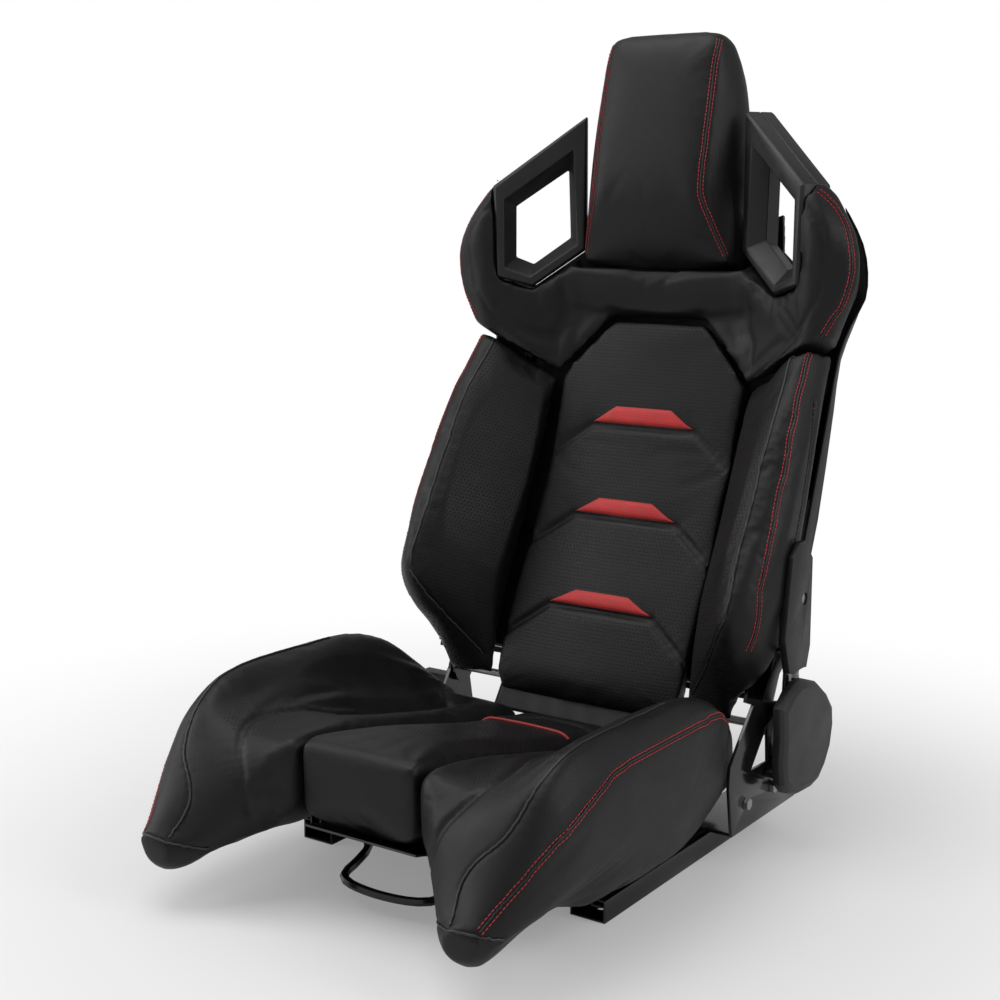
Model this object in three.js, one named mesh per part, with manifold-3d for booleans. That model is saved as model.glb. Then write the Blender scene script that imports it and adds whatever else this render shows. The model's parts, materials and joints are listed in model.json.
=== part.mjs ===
// Reclining sport seat on sliding floor rails, in millimetres.
// Seat frame: x towards the occupant's left, y towards the back, z up, z = 0 under the floor rails.
// Back frame: the same axes laid back by the lean, z up the back, y behind the seating surface.
import * as THREE from 'three';
import { mergeVertices } from 'three/addons/utils/BufferGeometryUtils.js';
import Module from 'manifold-3d';

const wasm = await Module();
wasm.setup();

// ---- driving dimensions ----
const gap = 0.3; // between pieces that touch
const rail = {
  spacing: 373, frontY: 211, length: 356, width: 43, height: 25, wall: 2.2, slot: 22,
  holeInset: 28, hole: 8.5,
};
const upperRail = { flangeWidth: 35, flange: 2.2, web: 16.4, rise: 10.2, frontOffset: -3 };
const rollerRadius = 7.5;
const cage = { length: 220, thickness: 4, width: 34 };
const riser = { width: 28, depth: 24, thickness: 2.5, height: 18, bolt: 6 };
const crossTube = { diameter: 18, wall: 2, frontY: 240, rearY: 398 };
const pan = { thickness: 2.5, width: 388, tongueWidth: 148, frontY: 64, frontZ: 92, bendY: 190, rearY: 468 };
const cushion = { centreHalf: 77.6, padGap: 1, rearY: 478 };
const pivot = { y: 548, z: 128 };
const bracket = { innerX: 244, thickness: 4, hubRadius: 35, footInnerX: 178, frontY: 420, rearY: 585 };
const recliner = { plateRadius: 34, plateThickness: 4.5, hole: 13 };
const rod = { diameter: 10 };
const arm = { thickness: 4, hubRadius: 34, bolt: 8 };
const armCover = { thickness: 6, lowerClear: 78 };
const cover = { thickness: 15.2, wall: 2.5, boss: 11 };
const plainPivot = { thickness: 4, hubRadius: 20, bush: 3.4, bushRadius: 12, frontY: 486, rearY: 585 };
const lever = {
  hub: 11, thickness: 6, barTop: 118, barBottom: 103, bladeX: 270, bladeThickness: 6, length: 205,
  gripLength: 92, gripThickness: 16,
};
const handle = { rod: 10, halfWidth: 55, frontY: 98, sleeveX: 149, sleeveLength: 18, lowZ: 25 };
const back = { lean: 22, y: 511, z: 196, halfWidth: 136, padRear: 36, bottom: -70 };
const frame = {
  memberX: 218, thickness: 4, front: 12, rear: 50, top: 340, bottom: -30, tube: 20, cross: 16,
  lowerTubeZ: -8, lumbarTubeZ: 150,
};
const shell = { wall: 3 };
const bezel = { turn: 29.9, x: 218, y: 615, z: 757, front: 22, rear: 20, clearance: 0.8 };
const headrestBase = 489; // height up the back where the headrest stands on the shoulders

// ---- materials ----
const paint = (color, roughness, metalness) => new THREE.MeshStandardMaterial({ color, roughness, metalness });
const leatherette = paint(0x1a1a1c, 0.55, 0);
const mouldedPlastic = paint(0x151516, 0.5, 0);
const paintedSteel = paint(0x0d0d0e, 0.3, 0.4);
const zincSteel = paint(0x9a9c9e, 0.35, 0.9);
const springSteel = paint(0x3a3c40, 0.4, 0.9);

// ---- joins and cuts ----
function toSolid(geometry) {
  const bare = geometry.clone();
  bare.deleteAttribute('normal');
  bare.deleteAttribute('uv');
  const merged = mergeVertices(bare, 1e-4);
  return new wasm.Manifold(new wasm.Mesh({
    numProp: 3,
    vertProperties: merged.attributes.position.array,
    triVerts: new Uint32Array(merged.index.array),
  }));
}

function toGeometry(solid) {
  const mesh = solid.getMesh();
  const geometry = new THREE.BufferGeometry();
  geometry.setAttribute('position', new THREE.BufferAttribute(mesh.vertProperties, 3));
  geometry.setIndex(new THREE.BufferAttribute(mesh.triVerts, 1));
  geometry.computeVertexNormals();
  return geometry;
}

function cut(geometry, ...tools) {
  let solid = toSolid(geometry);
  for (const tool of tools) solid = solid.subtract(toSolid(tool));
  return toGeometry(solid);
}

function join(geometry, ...others) {
  let solid = toSolid(geometry);
  for (const other of others) solid = solid.add(toSolid(other));
  return toGeometry(solid);
}

function mirrored(geometry) {
  const copy = geometry.index ? geometry.toNonIndexed() : geometry.clone();
  const position = copy.attributes.position;
  for (let i = 0; i < position.count; i += 3) {
    for (let k = 0; k < 3; k += 1) position.setX(i + k, -position.getX(i + k));
    const second = new THREE.Vector3().fromBufferAttribute(position, i + 1);
    const third = new THREE.Vector3().fromBufferAttribute(position, i + 2);
    position.setXYZ(i + 1, third.x, third.y, third.z);
    position.setXYZ(i + 2, second.x, second.y, second.z);
  }
  copy.computeVertexNormals();
  return copy;
}

// ---- shapes ----
function box(x0, x1, y0, y1, z0, z1) {
  const geometry = new THREE.BoxGeometry(x1 - x0, y1 - y0, z1 - z0);
  return geometry.translate((x0 + x1) / 2, (y0 + y1) / 2, (z0 + z1) / 2);
}

// Outlines run anticlockwise and holes clockwise.
function outline(points) {
  const corners = points.map(([a, b]) => new THREE.Vector2(a, b));
  if (THREE.ShapeUtils.isClockWise(corners)) corners.reverse();
  return new THREE.Shape(corners);
}

function round(a, b, radius) {
  return new THREE.Path().absarc(a, b, radius, 0, 2 * Math.PI, true);
}

// A flat shape drawn in (y, z), given its thickness along x.
function acrossX(shape, x0, x1, curveSegments = 8) {
  const geometry = new THREE.ExtrudeGeometry(shape, { depth: x1 - x0, bevelEnabled: false, curveSegments });
  const axes = new THREE.Matrix4().makeBasis(
    new THREE.Vector3(0, 1, 0), new THREE.Vector3(0, 0, 1), new THREE.Vector3(1, 0, 0),
  );
  return geometry.applyMatrix4(axes).translate(x0, 0, 0);
}

// A section drawn in (x, z), run along y.
function alongY(shape, y0, y1) {
  const geometry = new THREE.ExtrudeGeometry(shape, { depth: y1 - y0, bevelEnabled: false });
  return geometry.rotateX(Math.PI / 2).translate(0, y1, 0);
}

function rodAlongX(x0, x1, y, z, radius, sides = 16) {
  const geometry = new THREE.CylinderGeometry(radius, radius, x1 - x0, sides);
  return geometry.rotateZ(Math.PI / 2).translate((x0 + x1) / 2, y, z);
}

function rodUp(x, y, z0, z1, radius, sides = 16) {
  const geometry = new THREE.CylinderGeometry(radius, radius, z1 - z0, sides);
  return geometry.rotateX(Math.PI / 2).translate(x, y, (z0 + z1) / 2);
}

function rodAlongPath(points, radius, sides, steps) {
  const path = new THREE.CatmullRomCurve3(points.map((p) => new THREE.Vector3(...p)), false, 'centripetal');
  const section = new THREE.Shape();
  section.absarc(0, 0, radius, 0, 2 * Math.PI, false);
  return new THREE.ExtrudeGeometry(section, { extrudePath: path, steps, curveSegments: sides / 2 });
}

// Each corner of a closed loop is softened into two points, a share of the edge away from it.
const softestCorner = 13;

function softened(loop, share) {
  const towards = (corner, other) => {
    const edge = Math.hypot(other[0] - corner[0], other[1] - corner[1]);
    const part = Math.min(share, softestCorner / edge);
    return corner.map((c, k) => c + (other[k] - c) * part);
  };
  return loop.flatMap((corner, i) => [
    towards(corner, loop[(i + loop.length - 1) % loop.length]),
    towards(corner, loop[(i + 1) % loop.length]),
  ]);
}

// Stations are [place, loop of corners]; each corner follows a smooth curve through the stations.
function fillStations(stations, stepsBetween) {
  const corners = stations[0][1].length;
  const curves = [];
  for (let i = 0; i < corners; i += 1) {
    const points = stations.map(([place, loop]) => new THREE.Vector3(loop[i][0], loop[i][1], place));
    curves.push(new THREE.CatmullRomCurve3(points, false, 'centripetal'));
  }
  const count = (stations.length - 1) * stepsBetween;
  const filled = [];
  for (let k = 0; k <= count; k += 1) {
    filled.push(curves.map((curve) => curve.getPoint(k / count).toArray()));
  }
  return filled;
}

// A closed body through loops of 3-D points that all have the same number of points.
function loftLoops(loops, capAxes) {
  const count = loops[0].length;
  const positions = loops.flat(2);
  const triangles = [];
  for (let k = 0; k + 1 < loops.length; k += 1) {
    for (let i = 0; i < count; i += 1) {
      const j = (i + 1) % count;
      const low = k * count;
      const high = low + count;
      triangles.push(low + i, low + j, high + j, low + i, high + j, high + i);
    }
  }
  const capOf = (loop) => {
    const flat = loop.map((p) => new THREE.Vector2(p[capAxes[0]], p[capAxes[1]]));
    const clockwise = THREE.ShapeUtils.isClockWise(flat);
    const faces = THREE.ShapeUtils.triangulateShape(flat, []);
    return clockwise ? faces.map(([a, b, c]) => [a, c, b]) : faces;
  };
  const last = (loops.length - 1) * count;
  for (const [a, b, c] of capOf(loops[0])) triangles.push(a, c, b);
  for (const [a, b, c] of capOf(loops[loops.length - 1])) triangles.push(last + a, last + b, last + c);
  const geometry = new THREE.BufferGeometry();
  geometry.setAttribute('position', new THREE.Float32BufferAttribute(positions, 3));
  geometry.setIndex(triangles);
  return toSolid(geometry).volume() > 0 ? geometry : inverted(geometry);
}

function inverted(geometry) {
  const index = geometry.index.array;
  for (let i = 0; i < index.length; i += 3) {
    [index[i + 1], index[i + 2]] = [index[i + 2], index[i + 1]];
  }
  return geometry;
}

// Sections in (x, z) at stations along y.
function loftAlongY(stations, share, stepsBetween) {
  const loops = fillStations(stations, stepsBetween)
    .map((loop) => softened(loop, share).map(([x, z, y]) => [x, y, z]));
  return loftLoops(loops, [0, 2]);
}

// Sections in (x, depth in front) at heights up the back frame.
function loftUp(stations, share, stepsBetween) {
  const loops = fillStations(stations, stepsBetween)
    .map((loop) => softened(loop, share).map(([x, front, z]) => [x, -front, z]));
  return loftLoops(loops, [0, 1]);
}

// The right half of a section is the left half turned over, without the points on the middle.
function wholeSection(half) {
  const other = half.filter(([x]) => x > 0).map(([x, front]) => [-x, front]).reverse();
  return [...half, ...other];
}

// ---- the seat, as nested groups ----
const seat = new THREE.Group();
const backFrame = new THREE.Group();
backFrame.position.set(0, back.y, back.z);
backFrame.rotation.x = THREE.MathUtils.degToRad(-back.lean);
seat.add(backFrame);

function add(group, name, geometry, material) {
  const mesh = new THREE.Mesh(geometry, material);
  mesh.name = name;
  group.add(mesh);
}

function addPair(group, name, geometry, material) {
  add(group, `${name}_left`, geometry, material);
  add(group, `${name}_right`, mirrored(geometry), material);
}

const railX = rail.spacing / 2;
const railRear = rail.frontY + rail.length;
const railMiddle = rail.frontY + rail.length / 2;
const flangeBottom = rail.wall + 2 * gap + 2 * rollerRadius;
const upperRailTop = rail.height + upperRail.rise;
const deck = upperRailTop + gap; // what stands on the upper rails starts here
const panBottom = deck + crossTube.diameter + gap;
const cushionFloor = panBottom + pan.thickness + gap;

// ---- floor rails and what rolls in them ----
function addFloorRails() {
  const half = rail.width / 2;
  const inner = half - rail.wall;
  const lip = rail.height - rail.wall;
  const slot = rail.slot / 2;
  const section = outline([
    [-half, 0], [half, 0], [half, rail.height], [slot, rail.height], [slot, lip], [inner, lip],
    [inner, rail.wall], [-inner, rail.wall], [-inner, lip], [-slot, lip], [-slot, rail.height],
    [-half, rail.height],
  ]);
  const channel = alongY(section, rail.frontY, railRear).translate(railX, 0, 0);
  const holes = [rail.frontY + rail.holeInset, railRear - rail.holeInset]
    .map((y) => rodUp(railX, y, -1, rail.wall + 1, rail.hole / 2));
  addPair(seat, 'lower_rail', cut(channel, ...holes), paintedSteel);
}

function addRollerCages() {
  const bottom = rail.wall + gap;
  const middle = bottom + rollerRadius;
  const strip = box(
    railX - cage.width / 2 + 4, railX + cage.width / 2 - 4,
    railMiddle - cage.length / 2, railMiddle + cage.length / 2,
    middle - cage.thickness / 2, middle + cage.thickness / 2,
  );
  const rollers = [-1, 1].map((side) => rodAlongX(
    railX - cage.width / 2, railX + cage.width / 2,
    railMiddle + side * (cage.length / 2 - 2 * rollerRadius), middle, rollerRadius, 12,
  ));
  addPair(seat, 'roller_cage', join(strip, ...rollers), zincSteel);
}

function riserBoltY() {
  return rail.frontY + upperRail.frontOffset + riser.depth / 4;
}

function addUpperRails() {
  const flange = upperRail.flangeWidth / 2;
  const web = upperRail.web / 2;
  const hollow = web - upperRail.flange;
  const top = flangeBottom + upperRail.flange;
  const section = outline([
    [-flange, flangeBottom], [-hollow, flangeBottom], [-hollow, upperRailTop - upperRail.flange],
    [hollow, upperRailTop - upperRail.flange], [hollow, flangeBottom], [flange, flangeBottom],
    [flange, top], [web, top], [web, upperRailTop], [-web, upperRailTop], [-web, top], [-flange, top],
  ]);
  const front = rail.frontY + upperRail.frontOffset;
  const bar = alongY(section, front, front + rail.length).translate(railX, 0, 0);
  const boltHole = rodUp(railX, riserBoltY(), upperRailTop - 5, upperRailTop + 1, riser.bolt / 2 + gap);
  addPair(seat, 'upper_rail', cut(bar, boltHole), paintedSteel);
}

function addRisers() {
  const front = rail.frontY + upperRail.frontOffset - 1;
  const upright = front + riser.depth - 9;
  const rear = front + riser.depth;
  const top = deck + riser.height;
  const t = riser.thickness;
  const profile = outline([
    [front, deck], [upright + t, deck], [upright + t, top - t], [rear, top - t], [rear, top],
    [upright, top], [upright, deck + t], [front, deck + t],
  ]);
  const y = riserBoltY();
  const plate = acrossX(profile, railX - riser.width / 2, railX + riser.width / 2);
  const hole = rodUp(railX, y, deck - 1, deck + t + 1, riser.bolt / 2 + gap);
  addPair(seat, 'rail_riser', cut(plate, hole), paintedSteel);
  const headBottom = deck + t + gap;
  const head = rodUp(railX, y, headBottom, headBottom + 5, riser.bolt, 6);
  const shank = rodUp(railX, y, upperRailTop - 4, headBottom + 1, riser.bolt / 2, 12);
  addPair(seat, 'riser_bolt', join(head, shank), zincSteel);
}

// ---- seat base ----
function addCrossTubes() {
  const radius = crossTube.diameter / 2;
  const ring = new THREE.Shape().absarc(0, 0, radius, 0, 2 * Math.PI, false);
  ring.holes.push(round(0, 0, radius - crossTube.wall));
  const half = railX + upperRail.web / 2 + 3;
  const tube = acrossX(ring, -half, half, 8).translate(0, 0, deck + radius);
  add(seat, 'front_cross_tube', tube.clone().translate(0, crossTube.frontY, 0), paintedSteel);
  add(seat, 'rear_cross_tube', tube.clone().translate(0, crossTube.rearY, 0), paintedSteel);
}

function addSeatPan() {
  const t = pan.thickness;
  const flat = box(-pan.width / 2, pan.width / 2, pan.bendY, pan.rearY, panBottom, panBottom + t);
  const lip = 12;
  const tongue = outline([
    [pan.bendY - 1, panBottom], [pan.bendY + 1, panBottom], [pan.bendY + 1, panBottom + t],
    [pan.bendY - 1, panBottom + t], [pan.frontY + lip, pan.frontZ + t - 3], [pan.frontY, pan.frontZ + t],
    [pan.frontY, pan.frontZ], [pan.frontY + lip, pan.frontZ - 3],
  ]);
  const ramp = acrossX(tongue, -pan.tongueWidth / 2, pan.tongueWidth / 2);
  add(seat, 'seat_pan', join(flat, ramp), paintedSteel);
}

function roomBelowCushion(reach) {
  return box(-reach, reach, pan.bendY - 4, cushion.rearY + 10, 0, cushionFloor);
}

function addCushionCentre() {
  const half = cushion.centreHalf;
  const section = (top, bottom, crown) => [
    [-half, bottom], [-half, top - crown], [-half * 0.5, top - crown * 0.2], [0, top],
    [half * 0.5, top - crown * 0.2], [half, top - crown], [half, bottom],
  ];
  const stations = [
    [57, section(180, 104, 1)], [64, section(190, 101, 1)], [78, section(193, 97, 1)],
    [120, section(187, 85, 2)], [200, section(170, cushionFloor, 3)],
    [283, section(150, cushionFloor, 4)], [361, section(133, cushionFloor, 4)],
    [430, section(124, cushionFloor, 4)], [cushion.rearY, section(119, cushionFloor + 3, 4)],
  ];
  const pad = cut(loftAlongY(stations, 0.12, 2), roomBelowCushion(half + 1));
  add(seat, 'cushion_centre_pad', pad, leatherette);
}

// Section corners: inner bottom, inner top, valley, inner ridge, ridge, outer seam, side, skirt,
// skirt foot, underside.
function addCushionBolsters() {
  const inner = cushion.centreHalf + cushion.padGap;
  const floor = cushionFloor;
  const railSide = railX + rail.width / 2;
  const stations = [
    [-36, [[178, 60], [180, 74], [186, 84], [200, 86], [214, 86], [221, 82], [222, 72], [216, 60],
      [205, 50], [190, 50]]],
    [-20, [[160, 60], [160, 78], [172, 86], [192, 98], [212, 102], [226, 92], [232, 74], [226, 56],
      [205, 38], [178, 44]]],
    [0, [[143, 68], [145, 98], [160, 112], [186, 124], [216, 126], [234, 116], [241, 88], [234, 62],
      [205, 36], [168, 50]]],
    [25, [[118, 80], [118, 132], [142, 148], [180, 160], [222, 165], [246, 142], [249, 100], [240, 66],
      [210, 48], [152, 64]]],
    [45, [[96, 92], [97, 166], [134, 168], [180, 180], [226, 194], [252, 160], [255, 105], [242, 66],
      [208, 56], [132, 78]]],
    [62, [[inner, 102], [inner, 189], [125, 180], [180, 188], [227, 212], [259, 170], [257, 106],
      [240, 66], [204, 58], [120, 84]]],
    [100, [[inner, 94], [inner, 191], [130, 182], [182, 196], [229, 233], [263, 183], [259, 112],
      [238, 62], [206, 56], [112, 80]]],
    [150, [[inner, 82], [inner, 181], [134, 184], [184, 200], [231, 238], [264, 198], [259, 114],
      [234, 50], [railSide + 6, 36], [160, 66]]],
    [200, [[inner, floor], [inner, 170], [136, 170], [184, 190], [231, 238], [264, 199], [258, 114],
      [232, 44], [railSide + 5, 31], [railSide - 3, floor]]],
    [283, [[inner, floor], [inner, 150], [138, 150], [182, 176], [230, 236], [264, 199], [258, 114],
      [232, 44], [railSide + 5, 31], [railSide - 3, floor]]],
    [345, [[inner, floor], [inner, 136], [138, 137], [180, 160], [226, 226], [262, 199], [254, 112],
      [231, 46], [railSide + 5, 33], [railSide - 3, floor]]],
    [395, [[inner, floor], [inner, 128], [138, 129], [178, 146], [220, 205], [255, 186], [243, 112],
      [229, 54], [railSide + 5, 42], [railSide - 3, floor]]],
    [428, [[inner, floor], [inner, 124], [138, 125], [176, 136], [214, 178], [246, 166], [241, 112],
      [228, 66], [railSide + 4, 54], [railSide - 3, floor]]],
    [455, [[inner, floor], [inner, 121], [138, 122], [174, 128], [208, 154], [230, 148], [234, 112],
      [226, 74], [railSide + 4, 62], [railSide - 3, floor + 2]]],
    [cushion.rearY, [[inner, floor + 2], [inner, 116], [138, 117], [172, 120], [200, 130], [214, 126],
      [220, 108], [214, 82], [railSide - 2, 68], [railSide - 10, floor + 3]]],
  ];
  const seam = box(0, inner, -50, cushion.rearY + 10, 0, 300);
  const below = roomBelowCushion(railSide - 3);
  addPair(seat, 'cushion_bolster', cut(loftAlongY(stations, 0.25, 2), seam, below), leatherette);
}

// ---- recliner, the parts that stay with the seat base ----
const plateStart = bracket.innerX + bracket.thickness + gap;
const movingStart = plateStart + recliner.plateThickness + gap;
const armStart = movingStart + recliner.plateThickness + gap;
const armEnd = armStart + arm.thickness;
const armCoverEnd = armEnd + gap + armCover.thickness;
const coverStart = armCoverEnd + 0.5;
const coverEnd = coverStart + cover.thickness;

const boltZ = 66;
const pinBore = rod.diameter / 2 + gap;
const pivotPlateX = frame.memberX + frame.thickness + plainPivot.bush + 2 * gap;

function bracketShape() {
  const shape = new THREE.Shape();
  shape.moveTo(bracket.frontY, deck);
  shape.lineTo(bracket.rearY, deck);
  shape.lineTo(pivot.y + 50, pivot.z - 50);
  shape.lineTo(pivot.y + bracket.hubRadius, pivot.z);
  shape.absarc(pivot.y, pivot.z, bracket.hubRadius, 0, Math.PI / 2, false);
  shape.lineTo(478, 180);
  shape.lineTo(466, 178);
  shape.lineTo(412, 120);
  shape.lineTo(410, 96);
  shape.holes.push(new THREE.Path([
    new THREE.Vector2(504, 146), new THREE.Vector2(508, 100), new THREE.Vector2(464, 102),
  ]));
  shape.holes.push(round(pivot.y, pivot.z, recliner.hole / 2));
  return shape;
}

function boltAcross(y, z, start, bore) {
  const head = rodAlongX(start, start + 5, y, z, 7, 6);
  const shank = rodAlongX(bore, start + 1, y, z, 4, 12);
  return join(head, shank);
}

function addReclinerBracket() {
  const outer = bracket.innerX + bracket.thickness;
  const plate = acrossX(bracketShape(), bracket.innerX, outer);
  const foot = box(
    bracket.footInnerX, outer, bracket.frontY, bracket.rearY, deck, deck + bracket.thickness,
  );
  const places = [['front', 452], ['rear', 520]];
  const holes = places.map(([, y]) => rodAlongX(bracket.innerX - 1, outer + 1, y, boltZ, 4.4, 12));
  add(seat, 'recliner_bracket', cut(join(plate, foot), ...holes), paintedSteel);
  for (const [end, y] of places) {
    const bolt = boltAcross(y, boltZ, outer + gap, bracket.innerX - 5);
    add(seat, `recliner_bracket_bolt_${end}`, bolt, zincSteel);
  }
}

// The other side has a plain pivot: a plate on the rail, a bush and the foot of the side member.
function addPivotBracket() {
  const { thickness, frontY, rearY, hubRadius } = plainPivot;
  const outer = pivotPlateX + thickness;
  const shape = new THREE.Shape();
  shape.moveTo(frontY, deck);
  shape.lineTo(rearY, deck);
  shape.lineTo(pivot.y + hubRadius, pivot.z);
  shape.absarc(pivot.y, pivot.z, hubRadius, 0, Math.PI, false);
  shape.lineTo(frontY, deck + 30);
  shape.holes.push(round(pivot.y, pivot.z, pinBore));
  const foot = box(bracket.footInnerX, outer, frontY, rearY, deck, deck + thickness);
  const places = [['front', 508], ['rear', 562]];
  const holes = places.map(([, y]) => rodAlongX(pivotPlateX - 1, outer + 1, y, boltZ, 4.4, 12));
  const plate = cut(join(acrossX(shape, pivotPlateX, outer), foot), ...holes);
  add(seat, 'pivot_bracket', mirrored(plate), paintedSteel);
  for (const [end, y] of places) {
    const bolt = boltAcross(y, boltZ, outer + gap, pivotPlateX - 5);
    add(seat, `pivot_bracket_bolt_${end}`, mirrored(bolt), zincSteel);
  }
  const washer = new THREE.Shape().absarc(pivot.y, pivot.z, plainPivot.bushRadius, 0, 2 * Math.PI, false);
  washer.holes.push(round(pivot.y, pivot.z, pinBore));
  const bushStart = frame.memberX + frame.thickness + gap;
  add(seat, 'pivot_bush', mirrored(acrossX(washer, bushStart, bushStart + plainPivot.bush)), zincSteel);
}

function plateDisc(x0, x1) {
  const shape = new THREE.Shape().absarc(pivot.y, pivot.z, recliner.plateRadius, 0, 2 * Math.PI, false);
  shape.holes.push(round(pivot.y, pivot.z, recliner.hole / 2));
  return acrossX(shape, x0, x1, 12);
}

function addReturnSpring() {
  const turns = 2.5;
  const inner = 12;
  const pitch = 7;
  const strip = 2;
  const steps = 44;
  const edge = (offset) => Array.from({ length: steps + 1 }, (_, i) => {
    const angle = (i / steps) * turns * 2 * Math.PI;
    const radius = inner + (pitch * angle) / (2 * Math.PI) + offset;
    return [pivot.y + radius * Math.cos(angle), pivot.z + radius * Math.sin(angle)];
  });
  const shape = outline([...edge(strip), ...edge(0).reverse()]);
  const end = bracket.innerX - gap;
  add(seat, 'return_spring', acrossX(shape, end - 6, end), springSteel);
}

// The cover's outline runs round the pivot; each corner is (y, z) from it.
const coverOutline = [
  [-75, 49], [-54, 64], [-34, 71], [-12, 70], [18, 60], [46, 40], [65, 18], [68, -4], [62, -30],
  [48, -50], [30, -64], [8, -68], [-26, -66], [-53, -57], [-68, -44], [-74, -18], [-72, 12],
];

function coverLoop(inset, x) {
  return coverOutline.map(([y, z]) => {
    const reach = Math.hypot(y, z);
    const share = (reach - inset) / reach;
    return [x, pivot.y + y * share, pivot.z + z * share];
  });
}

function addReclinerCover() {
  const wall = cover.wall;
  const outside = loftLoops([
    coverLoop(0, coverStart), coverLoop(0, coverEnd - 7), coverLoop(3, coverEnd - 2.5),
    coverLoop(10, coverEnd),
  ], [1, 2]);
  const inside = loftLoops([
    coverLoop(wall, coverStart - 1), coverLoop(wall, coverEnd - 7 - wall),
    coverLoop(wall + 8, coverEnd - wall),
  ], [1, 2]);
  const bossEnd = coverEnd - wall + 0.5;
  const bosses = [[-44, -40], [22, -46]].map(([y, z]) => rodAlongX(
    plateStart, bossEnd, pivot.y + y, pivot.z + z, cover.boss / 2, 12,
  ));
  const dish = join(cut(outside, inside), ...bosses);
  add(seat, 'recliner_cover', dish, mouldedPlastic);
}

// ---- release lever, on the occupant's right, and the rod that carries its turn across ----
function addLever() {
  const start = pivotPlateX + plainPivot.thickness + gap;
  const hubEnd = start + lever.thickness;
  const rodGeometry = rodAlongX(-hubEnd, armEnd, pivot.y, pivot.z, rod.diameter / 2);
  add(seat, 'release_rod', rodGeometry, zincSteel);
  const { barTop, barBottom, bladeX } = lever;
  const bladeEnd = bladeX + lever.bladeThickness;
  const front = pivot.y - 20;
  const rear = pivot.y - 2;
  const tip = pivot.y - lever.length;
  const hub = new THREE.Shape().absarc(pivot.y, pivot.z, lever.hub, 0, 2 * Math.PI, false);
  const neck = outline([
    [front, barBottom], [rear, barBottom], [pivot.y + 9, pivot.z - 4], [pivot.y - 9, pivot.z + 3],
    [front, barTop],
  ]);
  const blade = outline([
    [rear, barBottom], [rear, barTop], [tip + 70, barTop], [tip, barTop - 6], [tip, barTop - 20],
    [tip + 70, barBottom],
  ]);
  const gripOutline = outline([
    [tip + lever.gripLength, barTop + 2], [tip + lever.gripLength, barBottom - 2], [tip + 4, barTop - 25],
    [tip - 8, barTop - 20], [tip - 8, barTop - 6], [tip + 4, barTop],
  ]);
  const body = join(
    acrossX(hub, start, hubEnd, 10), acrossX(neck, start, hubEnd),
    box(start, bladeEnd, front, rear, barBottom, barTop), acrossX(blade, bladeX, bladeEnd),
    acrossX(gripOutline, bladeX, bladeX + lever.gripThickness),
  );
  const bore = rodAlongX(start - 1, hubEnd + 1, pivot.y, pivot.z, pinBore);
  add(seat, 'recliner_lever', mirrored(cut(body, bore)), mouldedPlastic);
}

// ---- slide release handle, hooked round the front cross tube ----
function addSlideHandle() {
  const tubeZ = deck + crossTube.diameter / 2;
  const outer = crossTube.diameter / 2 + 3;
  const ring = new THREE.Shape().absarc(crossTube.frontY, tubeZ, outer, 0, 2 * Math.PI, false);
  const x0 = handle.sleeveX - handle.sleeveLength / 2;
  const x1 = handle.sleeveX + handle.sleeveLength / 2;
  const half = [
    [handle.sleeveX, crossTube.frontY - outer + 2, tubeZ - 4], [140, 210, 38], [96, 186, 37],
    [72, 166, 35], [66, 140, 29], [61, 112, handle.lowZ], [handle.halfWidth - 9, handle.frontY, handle.lowZ],
  ];
  const middle = [[0, handle.frontY - 8, handle.lowZ]];
  const path = [...half, ...middle, ...half.map(([x, y, z]) => [-x, y, z]).reverse()];
  const bar = rodAlongPath(path, handle.rod / 2, 8, 36);
  const sleeves = [acrossX(ring, x0, x1, 8), acrossX(ring, -x1, -x0, 8)];
  const pawl = acrossX(outline([
    [crossTube.frontY - 4, tubeZ], [crossTube.frontY + 8, tubeZ - 4], [crossTube.frontY + 50, 26],
    [crossTube.frontY + 50, 12], [crossTube.frontY + 36, 12], [crossTube.frontY - 6, tubeZ - 9],
  ]), x1 - 3, x1);
  const bore = rodAlongX(-x1 - 1, x1 + 1, crossTube.frontY, tubeZ, crossTube.diameter / 2 + gap);
  // The sleeves are hooks, open towards the pan above.
  const openTop = box(
    -x1 - 1, x1 + 1, crossTube.frontY - outer - 1, crossTube.frontY + outer + 1, tubeZ + 6, tubeZ + outer + 1,
  );
  const welded = join(bar, ...sleeves, pawl, mirrored(pawl));
  add(seat, 'slide_handle', cut(welded, bore, openTop), paintedSteel);
}

// ---- back: recliner side ----
const pivotInBack = new THREE.Vector3(0, pivot.y - back.y, pivot.z - back.z)
  .applyAxisAngle(new THREE.Vector3(1, 0, 0), THREE.MathUtils.degToRad(back.lean));
const pivotY = pivotInBack.y;
const pivotZ = pivotInBack.z;

// Arm corners as (height, depth in front) up the back.
const armCorners = [[12, -4], [47, 26], [134, 47], [154, 36], [160, 24], [146, -6], [53, -38], [18, -40]];
const armBoltPlaces = [['upper', 101, -2], ['lower', 36, -8]];

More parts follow.
